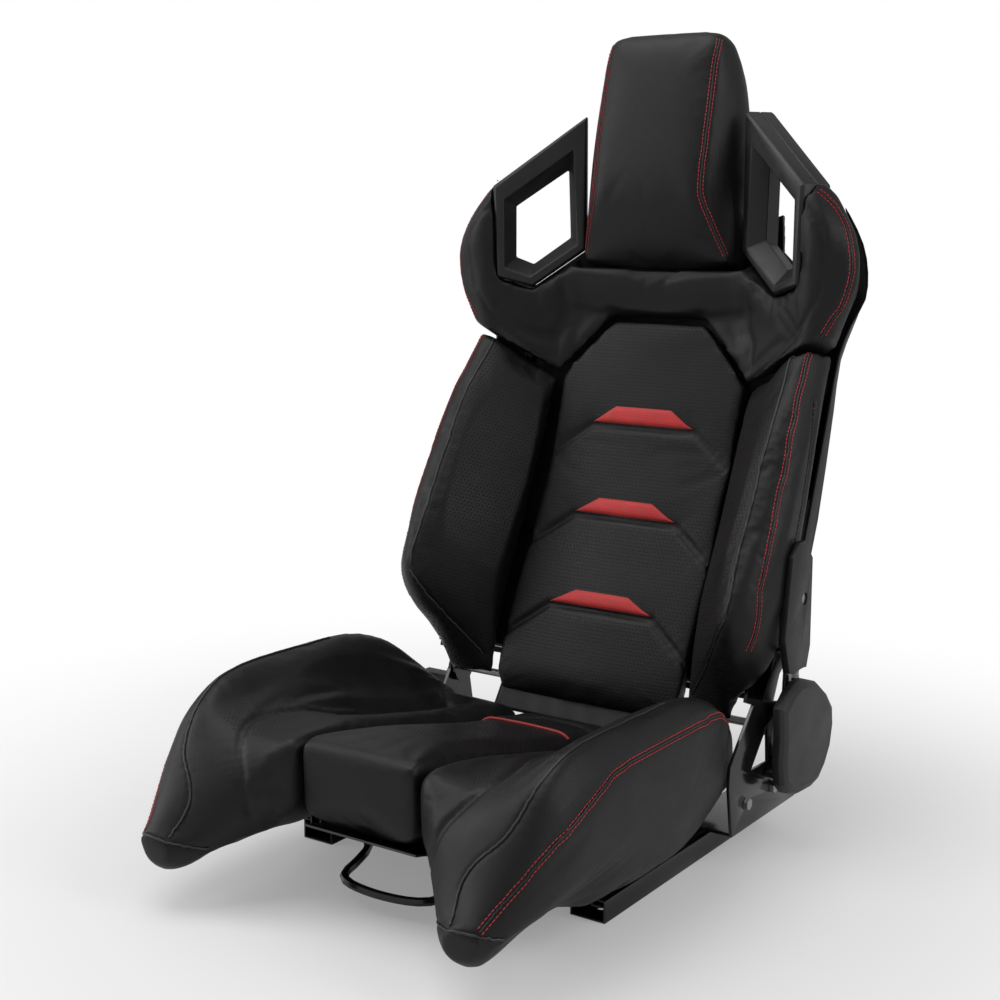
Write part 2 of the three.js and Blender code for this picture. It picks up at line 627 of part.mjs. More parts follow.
function addArm() {
  const hub = new THREE.Path().absarc(pivotY, pivotZ, arm.hubRadius, Math.PI * 0.42, Math.PI * 1.04, true);
  const shape = outline([
    ...armCorners.map(([z, front]) => [-front, z]),
    ...hub.getPoints(12).map((p) => [p.x, p.y]),
  ]);
  shape.holes.push(round(pivotY, pivotZ, recliner.hole / 2));
  for (const [, z, front] of armBoltPlaces) shape.holes.push(round(-front, z, arm.bolt / 2 + gap));
  add(backFrame, 'recliner_arm', acrossX(shape, armStart, armEnd, 8), paintedSteel);

  const margin = 4;
  const coverCorners = armCorners.map(([z, front]) => [-front - Math.sign(front + 8) * margin, z + (z > 100 ? margin : 0)]);
  const plate = acrossX(outline(coverCorners), armEnd + gap, armCoverEnd);
  const sweep = rodAlongX(armEnd, armCoverEnd + 1, pivotY, pivotZ, armCover.lowerClear, 40);
  const headRadius = arm.bolt * 0.8;
  const headHeight = 4;
  // The upper bolt shows through the cover, and the lower one sits in a pocket behind it.
  const pockets = armBoltPlaces.map(([name, z, front]) => rodAlongX(
    armEnd, name === 'upper' ? armCoverEnd + 1 : armEnd + headHeight + 2 * gap, -front, z, headRadius + 1, 12,
  ));
  add(backFrame, 'arm_cover', cut(plate, sweep, ...pockets), mouldedPlastic);

  for (const [name, z, front] of armBoltPlaces) {
    const head = rodAlongX(armEnd + gap, armEnd + gap + headHeight, -front, z, headRadius, 10);
    const shank = rodAlongX(frame.memberX, armEnd + 1, -front, z, arm.bolt / 2, 12);
    add(backFrame, `arm_bolt_${name}`, join(head, shank), zincSteel);
  }
}

// ---- back frame inside the pads ----
// The right member reaches down to the plain pivot, and the left one is bolted to the recliner arm.
function memberOutlines() {
  const front = [[0, frame.bottom], [-frame.front, 60], [-frame.front + 4, 300]];
  const top = [[frame.rear - 32, frame.top], [frame.rear - 10, frame.top], [frame.rear, 300]];
  const eye = new THREE.Path()
    .absarc(pivotY, pivotZ, plainPivot.hubRadius, Math.PI * 0.25, Math.PI * 1.1, true)
    .getPoints(10)
    .map((p) => [p.x, p.y]);
  const left = outline([[frame.rear, frame.bottom], ...front, ...top]);
  const right = outline([...front, ...top, [frame.rear, frame.bottom + 4], ...eye, [14, frame.bottom]]);
  return { left, right };
}

function frameTube(radius, sides, steps) {
  const x = frame.memberX - gap - frame.tube / 2 - 0.4;
  const rear = frame.rear - 5;
  const half = [
    [x, rear, 230], [x, rear - 1, 290], [x - 1, rear - 6, 345], [x - 5, 31, 392], [x - 24, 26.5, 428],
    [150, 26, 455], [104, 20, 477], [85, 0, 510], [80, -34, 560], [78, -62, 640], [68, -73, 684],
    [44, -76, 700],
  ];
  const path = [...half, ...half.map(([a, b, c]) => [-a, b, c]).reverse()];
  return rodAlongPath(path, radius, sides, steps);
}

function addBackFrame() {
  const x = frame.memberX;
  const { left, right } = memberOutlines();
  for (const [, z, front] of armBoltPlaces) left.holes.push(round(-front, z, arm.bolt / 2 + gap));
  right.holes.push(round(pivotY, pivotZ, pinBore));
  add(backFrame, 'side_member_left', acrossX(left, x, x + frame.thickness), paintedSteel);
  add(backFrame, 'side_member_right', mirrored(acrossX(right, x, x + frame.thickness)), paintedSteel);
  add(backFrame, 'upper_frame_tube', frameTube(frame.tube / 2, 8, 34), paintedSteel);
  const reach = x - gap;
  const behindPad = back.padRear + gap + frame.cross / 2;
  const lower = rodAlongX(-reach, reach, behindPad, frame.lowerTubeZ, frame.cross / 2, 12);
  add(backFrame, 'lower_back_tube', lower, paintedSteel);
  const lumbar = rodAlongX(-reach, reach, behindPad, frame.lumbarTubeZ, frame.cross / 2, 12);
  add(backFrame, 'lumbar_tube', lumbar, paintedSteel);
}

// ---- back pads ----
// The seams between the back pads, as (half width, height) up the back.
const shoulderSeam = [[0, 429], [67, 429], [136, 351], [249, 396]];

function seamPrism(points, y0, y1) {
  const shape = outline(points);
  const geometry = new THREE.ExtrudeGeometry(shape, { depth: y1 - y0, bevelEnabled: false });
  return geometry.rotateX(Math.PI / 2).translate(0, y1, 0);
}

function addBackCentre() {
  const half = back.halfWidth - 1;
  const section = (width, middle, side) => [
    [-width, -back.padRear], [-width, side], [-width * 0.5, (middle + side) / 2], [0, middle],
    [width * 0.5, (middle + side) / 2], [width, side], [width, -back.padRear],
  ];
  const stations = [
    [back.bottom, section(half - 8, -6, -10)], [-50, section(half - 2, 2, -2)], [0, section(half, 3, -1)],
    [60, section(half, 0, -6)], [130, section(half, -9, -14)], [200, section(half, -14, -19)],
    [260, section(half, -14, -18)], [351, section(half, -6, -8)], [440, section(half, 3, 1)],
  ];
  const [, top, corner] = shoulderSeam;
  const slope = (top[1] - corner[1]) / (corner[0] - top[0]);
  const clearance = 0.5;
  const out = 60;
  const low = corner[1] - out * slope - clearance;
  const above = seamPrism([
    [-corner[0] - out, low], [-top[0], top[1] - clearance], [top[0], top[1] - clearance],
    [corner[0] + out, low], [corner[0] + out, 500], [-corner[0] - out, 500],
  ], -100, 100);
  add(backFrame, 'backrest_centre_pad', cut(loftUp(stations, 0.1, 2), above), leatherette);
}

// Section corners: inner edge, lower ridge, ridge, outer seam, flank, rear corner, inner rear.
function addBackBolsters() {
  const inner = back.halfWidth + 0.4;
  const stations = [
    [-58, [[inner, -8], [150, -6], [172, 0], [196, 1], [202, -4], [203, -12], [inner, -14]]],
    [-31, [[inner, -4], [150, 3], [178, 20], [202, 26], [211, 10], [213, -13], [inner, -14]]],
    [-7, [[inner, -3], [158, 20], [190, 46], [217, 49], [231, 20], [231, -13], [inner, -14]]],
    [12, [[inner, -3], [166, 38], [208, 76], [236, 68], [246, 22], [240, -14], [inner, -14]]],
    [46, [[inner, -5], [177, 56], [222, 108], [258, 78], [254, 22], [249, -14], [inner, -15]]],
    [100, [[inner, -9], [178, 54], [223, 112], [259, 88], [254, 22], [251, -15], [inner, -18]]],
    [190, [[inner, -16], [178, 40], [222, 100], [257, 87], [254, 22], [251, -15], [inner, -24]]],
    [290, [[inner, -16], [177, 28], [219, 80], [250, 78], [252, 22], [249, -9], [inner, -24]]],
    [350, [[inner, -9], [174, 18], [213, 60], [243, 62], [250, 18], [248, -5], [inner, -18]]],
    [410, [[inner, -4], [170, 12], [206, 42], [236, 42], [249, 10], [247, -2], [inner, -16]]],
  ];
  const whole = loftUp(stations, 0.22, 3);
  const clearance = 0.5;
  const [, , corner, tip] = shoulderSeam;
  const slope = (tip[1] - corner[1]) / (tip[0] - corner[0]);
  const seamAt = (x) => corner[1] + (x - corner[0]) * slope - clearance;
  const above = seamPrism([[100, seamAt(100)], [300, seamAt(300)], [300, 500], [100, 500]], -200, 100);
  const x = frame.memberX;
  const slot = box(
    x - clearance, x + frame.thickness + clearance, -frame.front - clearance, 60, -120, frame.top + 1,
  );
  const bolts = armBoltPlaces.map(([, z, front]) => rodAlongX(
    x, x + 60, -front, z, arm.bolt / 2 + clearance, 12,
  ));
  const cleared = cut(whole, above, slot);
  add(backFrame, 'backrest_bolster_left', cut(cleared, ...bolts), leatherette);
  add(backFrame, 'backrest_bolster_right', mirrored(cleared), leatherette);
}

// ---- harness bezels ----
// Outline and opening in the bezel's own plane, as (outward, up) from its outer top corner.
const bezelOutline = [[-122, 92], [0, 4], [-5, -114], [-52, -127], [-123, -78]];
const bezelOpening = [[-104, 48], [-16, -15], [-16, -101], [-49, -112], [-109, -71]];
const bezelThroat = [[-98, 24], [-30, -22], [-30, -88], [-53, -97], [-101, -63]];

function bezelPlacement() {
  const turn = THREE.MathUtils.degToRad(bezel.turn);
  const outward = new THREE.Vector3(Math.cos(turn), -Math.sin(turn), 0);
  const backward = new THREE.Vector3(Math.sin(turn), Math.cos(turn), 0);
  const inSeat = new THREE.Matrix4()
    .makeBasis(outward, backward, new THREE.Vector3(0, 0, 1))
    .setPosition(bezel.x, bezel.y, bezel.z);
  const toBack = new THREE.Matrix4()
    .makeRotationX(THREE.MathUtils.degToRad(back.lean))
    .multiply(new THREE.Matrix4().makeTranslation(0, -back.y, -back.z));
  return toBack.multiply(inSeat);
}

function grown(points, amount) {
  const middle = points.reduce(([a, b], [x, z]) => [a + x / points.length, b + z / points.length], [0, 0]);
  return points.map(([x, z]) => {
    const reach = Math.hypot(x - middle[0], z - middle[1]);
    const share = (reach + amount) / reach;
    return [middle[0] + (x - middle[0]) * share, middle[1] + (z - middle[1]) * share];
  });
}

// A frame round an opening, from rings of [outline, depth] that close on themselves.
function ringBody(rings) {
  const count = rings[0][0].length;
  const positions = rings.flatMap(([points, depth]) => points.map(([x, z]) => [x, depth, z]));
  const triangles = [];
  rings.forEach((_, r) => {
    const low = r * count;
    const high = ((r + 1) % rings.length) * count;
    for (let i = 0; i < count; i += 1) {
      const j = (i + 1) % count;
      triangles.push(low + i, low + j, high + j, low + i, high + j, high + i);
    }
  });
  const geometry = new THREE.BufferGeometry();
  geometry.setAttribute('position', new THREE.Float32BufferAttribute(positions.flat(), 3));
  geometry.setIndex(triangles);
  return toSolid(geometry).volume() > 0 ? geometry : inverted(geometry);
}

function bezelPrism(amount) {
  const loop = (depth) => grown(bezelOutline, amount).map(([x, z]) => [x, depth, z]);
  return loftLoops([loop(-60), loop(200)], [0, 2]).applyMatrix4(bezelPlacement());
}

function addBezels() {
  const chamfer = 4;
  const frontRings = [
    [bezelOutline, bezel.front], [bezelOutline, chamfer], [grown(bezelOutline, -chamfer), 0],
    [grown(bezelOpening, 3), 0], [bezelOpening, 3], [bezelThroat, bezel.front],
  ];
  addPair(backFrame, 'harness_bezel_front', ringBody(frontRings).applyMatrix4(bezelPlacement()), mouldedPlastic);
  const start = bezel.front + gap;
  const end = start + bezel.rear;
  const rearRings = [
    [bezelOutline, start], [bezelThroat, start], [grown(bezelOpening, -4), end], [grown(bezelOutline, -3), end],
    [bezelOutline, end - 4],
  ];
  addPair(backFrame, 'harness_bezel_rear', ringBody(rearRings).applyMatrix4(bezelPlacement()), mouldedPlastic);
}

// ---- shoulders, headrest and shell ----
function shoulderCutters() {
  const prism = bezelPrism(bezel.clearance);
  return [prism, mirrored(prism)];
}

function addShoulders() {
  const stations = [
    [340, [[0, -12], [136, -8], [200, 44], [236, 52], [247, 24], [247, -8], [150, -14]]],
    [396, [[0, -3], [130, -2], [198, 36], [236, 56], [258, 36], [251, -4], [150, -14]]],
    [430, [[0, 3], [120, 6], [175, 36], [228, 72], [274, 60], [264, 8], [160, -14]]],
    [460, [[0, 22], [120, 28], [172, 50], [232, 86], [287, 66], [276, 20], [165, -12]]],
    [489, [[0, 42], [120, 46], [172, 66], [246, 102], [290, 70], [276, 32], [170, 0]]],
    [520, [[0, 60], [120, 64], [180, 88], [244, 112], [282, 74], [266, 42], [175, 24]]],
    [550, [[0, 80], [120, 84], [190, 104], [230, 113], [264, 80], [250, 56], [190, 48]]],
    [576, [[0, 90], [120, 92], [200, 104], [222, 105], [244, 84], [238, 68], [200, 64]]],
  ].map(([z, half]) => [z, wholeSection([...half, [0, half[6][1] - 1]])]);
  const whole = loftUp(stations, 0.2, 2);
  const clearance = 0.5;
  const [, top, corner, tip] = shoulderSeam;
  const slope = (tip[1] - corner[1]) / (tip[0] - corner[0]);
  const reachX = 300;
  const reachZ = corner[1] + (reachX - corner[0]) * slope;
  const lower = seamPrism([
    [-reachX, reachZ + clearance], [-corner[0], corner[1] + clearance], [-top[0], top[1] + clearance],
    [top[0], top[1] + clearance], [corner[0], corner[1] + clearance], [reachX, reachZ + clearance],
    [reachX, 0], [-reachX, 0],
  ].reverse(), -200, 100);
  const neck = box(-124, 124, -200, 100, headrestBase - 0.5, 640);
  const tube = frameTube(frame.tube / 2 + 1, 8, 34);
  add(backFrame, 'shoulder_pad', cut(whole, lower, neck, tube, ...shoulderCutters()), leatherette);
}

function addHeadrest() {
  // Height, then front and half width of the face, widest depth and half width, rear and half width.
  const rows = [
    [headrestBase, 43, 107, 24, 110, -16, 106], [505, 56, 102, 28, 110, -16, 106],
    [530, 79, 91, 36, 110, -14, 106], [558, 99, 81, 46, 109, -10, 104], [600, 111, 80, 56, 107, 0, 102],
    [650, 120, 80, 68, 104, 14, 99], [700, 127, 80, 78, 99, 34, 93], [735, 132, 79, 90, 93, 58, 86],
    [755, 128, 76, 96, 86, 80, 78], [764, 118, 68, 100, 76, 90, 70],
  ];
  const stations = rows.map(([z, front, faceHalf, wideDepth, wideHalf, rear, rearHalf]) => [z, wholeSection([
    [0, front + 2], [faceHalf, front], [wideHalf, wideDepth], [rearHalf, rear], [0, rear - 2],
  ])]);
  const tube = frameTube(frame.tube / 2 + 1, 8, 34);
  add(backFrame, 'headrest_pad', cut(loftUp(stations, 0.16, 2), tube), leatherette);
}

// The shell's outer skin, as half sections of (half width, depth in front).
const shellRows = [
  [-22, [237, -15], [236, -38], [228, -61], [130, -72], -79],
  [12, [241, -14], [239, -38], [229, -61], [132, -73], -80],
  [45, [250, -13.4], [249, -36], [230, -60], [140, -74], -82],
  [110, [251, -10.35], [250, -37], [230, -61], [140, -75], -83],
  [200, [251, -10.35], [250, -38], [230, -62], [140, -76], -84],
  [330, [249, -12], [247, -30], [230, -58], [140, -72], -80],
  [396, [250, -9], [245, -26], [230, -52], [140, -66], -74],
  [430, [262, 2], [256, -16], [234, -38], [150, -58], -68],
  [460, [279, 14], [268, -2], [240, -22], [155, -46], -62],
  [489, [281, 26], [268, 10], [240, -8], [152, -38], -56],
  [520, [273, 36], [260, 22], [235, 8], [140, -32], -49],
  [550, [256, 50], [246, 38], [225, 28], [132, -24], -42],
  [572, [240, 62], [234, 54], [220, 46], [130, -16], -36],
];

function addShell() {
  const wall = shell.wall;
  const stations = shellRows.map(([z, edge, side, turn, rear, middle]) => {
    const outside = [edge, side, turn, rear, [0, middle]];
    const inside = [
      [0, middle + wall], [rear[0] - 1, rear[1] + wall], [turn[0] - wall, turn[1] + wall],
      [side[0] - wall, side[1] + wall * 0.4], [edge[0] - wall, edge[1]],
    ];
    const flip = (points) => points.filter(([x]) => x > 0).map(([x, front]) => [-x, front]);
    const section = [...outside, ...flip(outside).reverse(), ...flip(inside).reverse(), ...inside];
    return [z, section];
  });
  const loops = fillStations(stations.map(([z, section]) => [z, section]), 2)
    .map((loop) => loop.map(([x, front, z]) => [x, -front, z]));
  const sheet = loftLoops(loops, [0, 1]);
  add(backFrame, 'back_shell', cut(sheet, ...shoulderCutters()), mouldedPlastic);
}

addFloorRails();
addRollerCages();
addUpperRails();
addRisers();
addCrossTubes();
addSeatPan();
addCushionCentre();
addCushionBolsters();
addReclinerBracket();
addPivotBracket();
add(seat, 'recliner_fixed_plate', plateDisc(plateStart, plateStart + recliner.plateThickness), zincSteel);
add(seat, 'recliner_moving_plate', plateDisc(movingStart, movingStart + recliner.plateThickness), zincSteel);
addReturnSpring();
addReclinerCover();
addLever();
addSlideHandle();
addArm();
addBackFrame();
addBackCentre();
addBackBolsters();
addBezels();
addShoulders();
addHeadrest();
addShell();

// The origin lies under the middle of the whole seat.
seat.updateMatrixWorld(true);
const extent = new THREE.Box3().setFromObject(seat, true);
seat.position.y = -(extent.min.y + extent.max.y) / 2;

const model = new THREE.Group();
model.add(seat);
export default model;
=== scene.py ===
# Reclining sport seat: stuffed panels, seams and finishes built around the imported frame
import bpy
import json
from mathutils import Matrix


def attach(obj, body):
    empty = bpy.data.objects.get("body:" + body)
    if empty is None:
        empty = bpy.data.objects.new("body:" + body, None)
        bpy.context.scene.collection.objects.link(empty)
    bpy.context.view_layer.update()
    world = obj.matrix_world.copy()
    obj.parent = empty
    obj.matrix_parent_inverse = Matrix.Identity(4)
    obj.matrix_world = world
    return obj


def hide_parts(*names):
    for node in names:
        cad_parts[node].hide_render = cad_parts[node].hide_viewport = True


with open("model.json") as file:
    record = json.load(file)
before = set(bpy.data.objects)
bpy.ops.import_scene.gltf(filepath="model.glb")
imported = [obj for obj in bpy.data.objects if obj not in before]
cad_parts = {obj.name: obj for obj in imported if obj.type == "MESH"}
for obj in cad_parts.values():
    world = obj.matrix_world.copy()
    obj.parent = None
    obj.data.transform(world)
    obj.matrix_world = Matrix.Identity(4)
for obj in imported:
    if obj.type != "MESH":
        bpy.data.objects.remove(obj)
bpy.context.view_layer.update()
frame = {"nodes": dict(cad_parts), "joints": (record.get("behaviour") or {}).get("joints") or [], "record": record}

import json
import math
import bmesh
import bpy
import numpy as np
from mathutils import Matrix, Vector
from mathutils.bvhtree import BVHTree

mm = 0.001
joints = {j["name"]: j for j in frame["joints"]}
pivot = Vector(joints["backrest_recline"]["pos_m"])
seatShift = pivot.y - 548 * mm  # from drawing y to frame y
lean = math.radians(22)
backOrigin = Vector((0, 511 * mm + seatShift, 196 * mm))


def seatPoint(x, y, z):
    return Vector((x * mm, y * mm + seatShift, z * mm))


def backPoint(x, up, front):  # place on the leaning back: across, up it, out in front of it
    local = Vector((0, up * math.sin(lean) - front * math.cos(lean), up * math.cos(lean) + front * math.sin(lean)))
    return backOrigin + local * mm + Vector((x * mm, 0, 0))


# ---- shader groups ----
def newGroup(name, inputs, outputs):
    group = bpy.data.node_groups.new(name, "ShaderNodeTree")
    for label, kind, value in inputs:
        socket = group.interface.new_socket(label, in_out="INPUT", socket_type=kind)
        if value is not None:
            socket.default_value = value
    for label, kind in outputs:
        group.interface.new_socket(label, in_out="OUTPUT", socket_type=kind)
    return group, group.nodes.new("NodeGroupInput"), group.nodes.new("NodeGroupOutput")


def link(tree, source, target):
    tree.links.new(source, target)


def mathNode(tree, operation, first, second=None, third=None):
    node = tree.nodes.new("ShaderNodeMath")
    node.operation = operation
    for i, value in enumerate((first, second, third)):
        if value is None:
            continue
        if isinstance(value, (int, float)):
            node.inputs[i].default_value = value
        else:
            link(tree, value, node.inputs[i])
    return node.outputs[0]


def makeGrainGroup():  # pebbled hide: cells, fine pores and slow creases
    group, inside, outside = newGroup(
        "hideGrain", [("Vector", "NodeSocketVector", None), ("Cell Size", "NodeSocketFloat", 1.3)],
        [("Height", "NodeSocketFloat"), ("Crease", "NodeSocketFloat")])
    scale = mathNode(group, "DIVIDE", 1000.0, inside.outputs["Cell Size"])
    cells = group.nodes.new("ShaderNodeTexVoronoi")
    cells.feature = "DISTANCE_TO_EDGE"
    link(group, inside.outputs["Vector"], cells.inputs["Vector"])
    link(group, scale, cells.inputs["Scale"])
    pores = group.nodes.new("ShaderNodeTexNoise")
    pores.inputs["Detail"].default_value = 4
    link(group, inside.outputs["Vector"], pores.inputs["Vector"])
    link(group, mathNode(group, "MULTIPLY", scale, 2.2), pores.inputs["Scale"])
    creases = group.nodes.new("ShaderNodeTexNoise")
    creases.inputs["Scale"].default_value = 28
    creases.inputs["Detail"].default_value = 3
    creases.inputs["Distortion"].default_value = 1.2
    link(group, inside.outputs["Vector"], creases.inputs["Vector"])
    domes = mathNode(group, "MINIMUM", mathNode(group, "MULTIPLY", cells.outputs["Distance"], 4.0), 1.0)
    height = mathNode(group, "MULTIPLY_ADD", pores.outputs["Fac"], 0.5, domes)
    link(group, height, outside.inputs["Height"])
    link(group, creases.outputs["Fac"], outside.inputs["Crease"])
    return group


def makeHoleGroup():  # round holes on a staggered grid, in the plane of the panel attribute
    group, inside, outside = newGroup(
        "staggeredHoles", [("Vector", "NodeSocketVector", None), ("Pitch", "NodeSocketFloat", 0.005),
                           ("Radius", "NodeSocketFloat", 0.001)], [("Hole", "NodeSocketFloat")])
    parts = group.nodes.new("ShaderNodeSeparateXYZ")
    link(group, inside.outputs["Vector"], parts.inputs[0])
    tall = mathNode(group, "MULTIPLY", inside.outputs["Pitch"], math.sqrt(3))
    reaches = []
    for offset in (0.0, 0.5):
        squares = []
        for axis, pitch in (("X", inside.outputs["Pitch"]), ("Y", tall)):
            cell = mathNode(group, "FRACT", mathNode(group, "ADD", mathNode(group, "DIVIDE", parts.outputs[axis], pitch), offset))
            away = mathNode(group, "MULTIPLY", mathNode(group, "SUBTRACT", cell, 0.5), pitch)
            squares.append(mathNode(group, "MULTIPLY", away, away))
        reaches.append(mathNode(group, "SQRT", mathNode(group, "ADD", squares[0], squares[1])))
    nearest = mathNode(group, "MINIMUM", reaches[0], reaches[1])
    edge = mathNode(group, "DIVIDE", nearest, inside.outputs["Radius"])
    hole = mathNode(group, "SUBTRACT", 1.0, mathNode(group, "SMOOTH_MIN", mathNode(group, "MULTIPLY", edge, edge), 1.0, 0.4))
    link(group, mathNode(group, "MAXIMUM", hole, 0.0), outside.inputs["Hole"])
    return group


def makeWearGroup():  # dust and rubbed patches that shift colour and gloss
    group, inside, outside = newGroup(
        "softWear", [("Vector", "NodeSocketVector", None), ("Size", "NodeSocketFloat", 14.0)],
        [("Wear", "NodeSocketFloat")])
    cloud = group.nodes.new("ShaderNodeTexNoise")
    cloud.inputs["Detail"].default_value = 5
    cloud.inputs["Roughness"].default_value = 0.6
    link(group, inside.outputs["Vector"], cloud.inputs["Vector"])
    link(group, inside.outputs["Size"], cloud.inputs["Scale"])
    link(group, cloud.outputs["Fac"], outside.inputs["Wear"])
    return group


hideGrain, staggeredHoles, softWear = makeGrainGroup(), makeHoleGroup(), makeWearGroup()


def place(tree, group, **values):
    node = tree.nodes.new("ShaderNodeGroup")
    node.node_tree = group
    for label, value in values.items():
        socket = node.inputs[label.replace("_", " ")]
        if isinstance(value, (int, float)):
            socket.default_value = value
        else:
            link(tree, value, socket)
    return node


def newMaterial(name):
    material = bpy.data.materials.new(name)
    material.use_nodes = True
    tree = material.node_tree
    return material, tree, tree.nodes["Principled BSDF"], tree.nodes.new("ShaderNodeTexCoord").outputs["Object"]


def remap(tree, value, low, high):
    node = tree.nodes.new("ShaderNodeMapRange")
    link(tree, value, node.inputs["Value"])
    node.inputs["From Min"].default_value = 0.3
    node.inputs["From Max"].default_value = 0.7
    node.inputs["To Min"].default_value = low
    node.inputs["To Max"].default_value = high
    return node.outputs["Result"]


def blendColours(tree, factor, first, second):
    node = tree.nodes.new("ShaderNodeMix")
    node.data_type = "RGBA"
    link(tree, factor, node.inputs["Factor"])
    for socket, value in ((node.inputs["A"], first), (node.inputs["B"], second)):
        if isinstance(value, tuple):
            socket.default_value = value + (1,)
        else:
            link(tree, value, socket)
    return node.outputs["Result"]


def addBump(tree, shader, height, strength, distance):
    bump = tree.nodes.new("ShaderNodeBump")
    bump.inputs["Strength"].default_value = strength
    bump.inputs["Distance"].default_value = distance
    link(tree, height, bump.inputs["Height"])
    link(tree, bump.outputs["Normal"], shader.inputs["Normal"])


hide = {"dark": (0.004, 0.004, 0.0044), "light": (0.0075, 0.0075, 0.008), "cell": 1.5, "rough": (0.36, 0.5),
        "pitch": 0.0052, "hole": 0.00115}


def leatherette(name, dark, light, holes):
    material, tree, shader, place3d = newMaterial(name)
    grain = place(tree, hideGrain, Vector=place3d, Cell_Size=hide["cell"])
    wear = place(tree, softWear, Vector=place3d)
    colour = blendColours(tree, remap(tree, wear.outputs[0], 0, 1), dark, light)
    height = mathNode(tree, "MULTIPLY_ADD", grain.outputs["Crease"], 1.5, grain.outputs["Height"])
    rough = remap(tree, wear.outputs[0], *hide["rough"])
    if holes:
        panel = tree.nodes.new("ShaderNodeAttribute")
        panel.attribute_name = "panel"
        mask = tree.nodes.new("ShaderNodeAttribute")
        mask.attribute_name = "perforated"
        hole = place(tree, staggeredHoles, Vector=panel.outputs["Vector"], Pitch=hide["pitch"], Radius=hide["hole"])
        open3d = mathNode(tree, "MULTIPLY", hole.outputs["Hole"], mask.outputs["Fac"])
        # painted shade: each hole is coloured near-black to stand in for the shade inside it
        colour = blendColours(tree, open3d, colour, (0.0008, 0.0008, 0.0008))
        height = mathNode(tree, "MULTIPLY_ADD", open3d, -6.0, height)
        rough = mathNode(tree, "MULTIPLY_ADD", open3d, 0.4, rough)
    link(tree, colour, shader.inputs["Base Color"])
    link(tree, rough, shader.inputs["Roughness"])
    shader.inputs["Specular IOR Level"].default_value = 0.3
    addBump(tree, shader, height, 0.35, 0.00022)
    return material


def plainFinish(name, colour, lighter, rough, metallic=0.0, grainSize=0.7, bump=0.1, coat=0.0):
    material, tree, shader, place3d = newMaterial(name)
    grain = place(tree, hideGrain, Vector=place3d, Cell_Size=grainSize)
    wear = place(tree, softWear, Vector=place3d, Size=30.0)
    link(tree, blendColours(tree, remap(tree, wear.outputs[0], 0, 1), colour, lighter), shader.inputs["Base Color"])
    link(tree, remap(tree, wear.outputs[0], *rough), shader.inputs["Roughness"])
    shader.inputs["Metallic"].default_value = metallic
    shader.inputs["Coat Weight"].default_value = coat
    shader.inputs["Coat Roughness"].default_value = 0.08
    addBump(tree, shader, grain.outputs["Height"], bump, 0.0001)
    return material


def wovenRed():
    material, tree, shader, place3d = newMaterial("redWeave")
    panel = tree.nodes.new("ShaderNodeAttribute")
    panel.attribute_name = "panel"
    hole = place(tree, staggeredHoles, Vector=panel.outputs["Vector"], Pitch=0.0026, Radius=0.0011)
    wear = place(tree, softWear, Vector=place3d, Size=40.0)
    base = blendColours(tree, remap(tree, wear.outputs[0], 0, 1), (0.62, 0.012, 0.014), (0.75, 0.03, 0.03))
    # painted shade: each hole is coloured dark red to stand in for the shade inside it
    link(tree, blendColours(tree, mathNode(tree, "MULTIPLY", hole.outputs["Hole"], 0.75), base, (0.22, 0.004, 0.005)),
         shader.inputs["Base Color"])
    shader.inputs["Roughness"].default_value = 0.5
    shader.inputs["Sheen Weight"].default_value = 0.2
    addBump(tree, shader, mathNode(tree, "MULTIPLY", hole.outputs["Hole"], -3.0), 0.4, 0.0002)
    return material


finishes = {
    "pad": leatherette("blackHide", hide["dark"], hide["light"], False),
    "holed": leatherette("holedHide", hide["dark"], hide["light"], True),
    "cord": plainFinish("pipingHide", (0.012, 0.012, 0.012), (0.02, 0.02, 0.02), (0.3, 0.42)),
    "thread": plainFinish("redThread", (0.42, 0.012, 0.02), (0.6, 0.03, 0.04), (0.45, 0.6), grainSize=0.4, bump=0.3),
    "red": wovenRed(),
    "plastic": plainFinish("mouldedBlack", (0.006, 0.006, 0.0065), (0.01, 0.01, 0.0105), (0.36, 0.5), bump=0.3),
    "paint": plainFinish("glossPaint", (0.005, 0.005, 0.0055), (0.008, 0.008, 0.008), (0.14, 0.26), bump=0.05, coat=0.4),
    "zinc": plainFinish("zincPlate", (0.34, 0.34, 0.33), (0.5, 0.5, 0.49), (0.26, 0.42), metallic=1.0),
    "spring": plainFinish("springSteel", (0.05, 0.05, 0.055), (0.09, 0.09, 0.1), (0.3, 0.42), metallic=1.0),
}
slotFinish = {"black_leatherette": "pad", "moulded_plastic": "plastic", "black_paint": "paint",
              "zinc_steel": "zinc", "spring_steel": "spring"}
for part in frame["record"]["subparts"]:
    node = frame["nodes"][part["node"]]
    node.data.materials.clear()
    node.data.materials.append(finishes[slotFinish[part["material_slot"]]])
print("finishes ready")


# ---- working with meshes ----
def pick(obj):
    if bpy.context.object and bpy.context.object.mode != "OBJECT":
        bpy.ops.object.mode_set(mode="OBJECT")
    bpy.ops.object.select_all(action="DESELECT")
    obj.select_set(True)
    bpy.context.view_layer.objects.active = obj


def copyNode(node, name):
    obj = bpy.data.objects.new(name, frame["nodes"][node].data.copy())
    bpy.context.scene.collection.objects.link(obj)
    pick(obj)
    bpy.ops.object.mode_set(mode="EDIT")
    bpy.ops.mesh.select_all(action="SELECT")
    bpy.ops.mesh.remove_doubles(threshold=0.00002)
    bpy.ops.object.mode_set(mode="OBJECT")
    return obj


def applyModifier(obj, kind, **values):
    pick(obj)
    modifier = obj.modifiers.new(kind.lower(), kind)
    for key, value in values.items():
        setattr(modifier, key, value)
    bpy.ops.object.modifier_apply(modifier=modifier.name)


def coords(obj):
    flat = np.zeros(len(obj.data.vertices) * 3)
    obj.data.vertices.foreach_get("co", flat)
    return flat.reshape(-1, 3)


def normals(obj):
    flat = np.zeros(len(obj.data.vertices) * 3)
    obj.data.vertices.foreach_get("normal", flat)
    return flat.reshape(-1, 3)


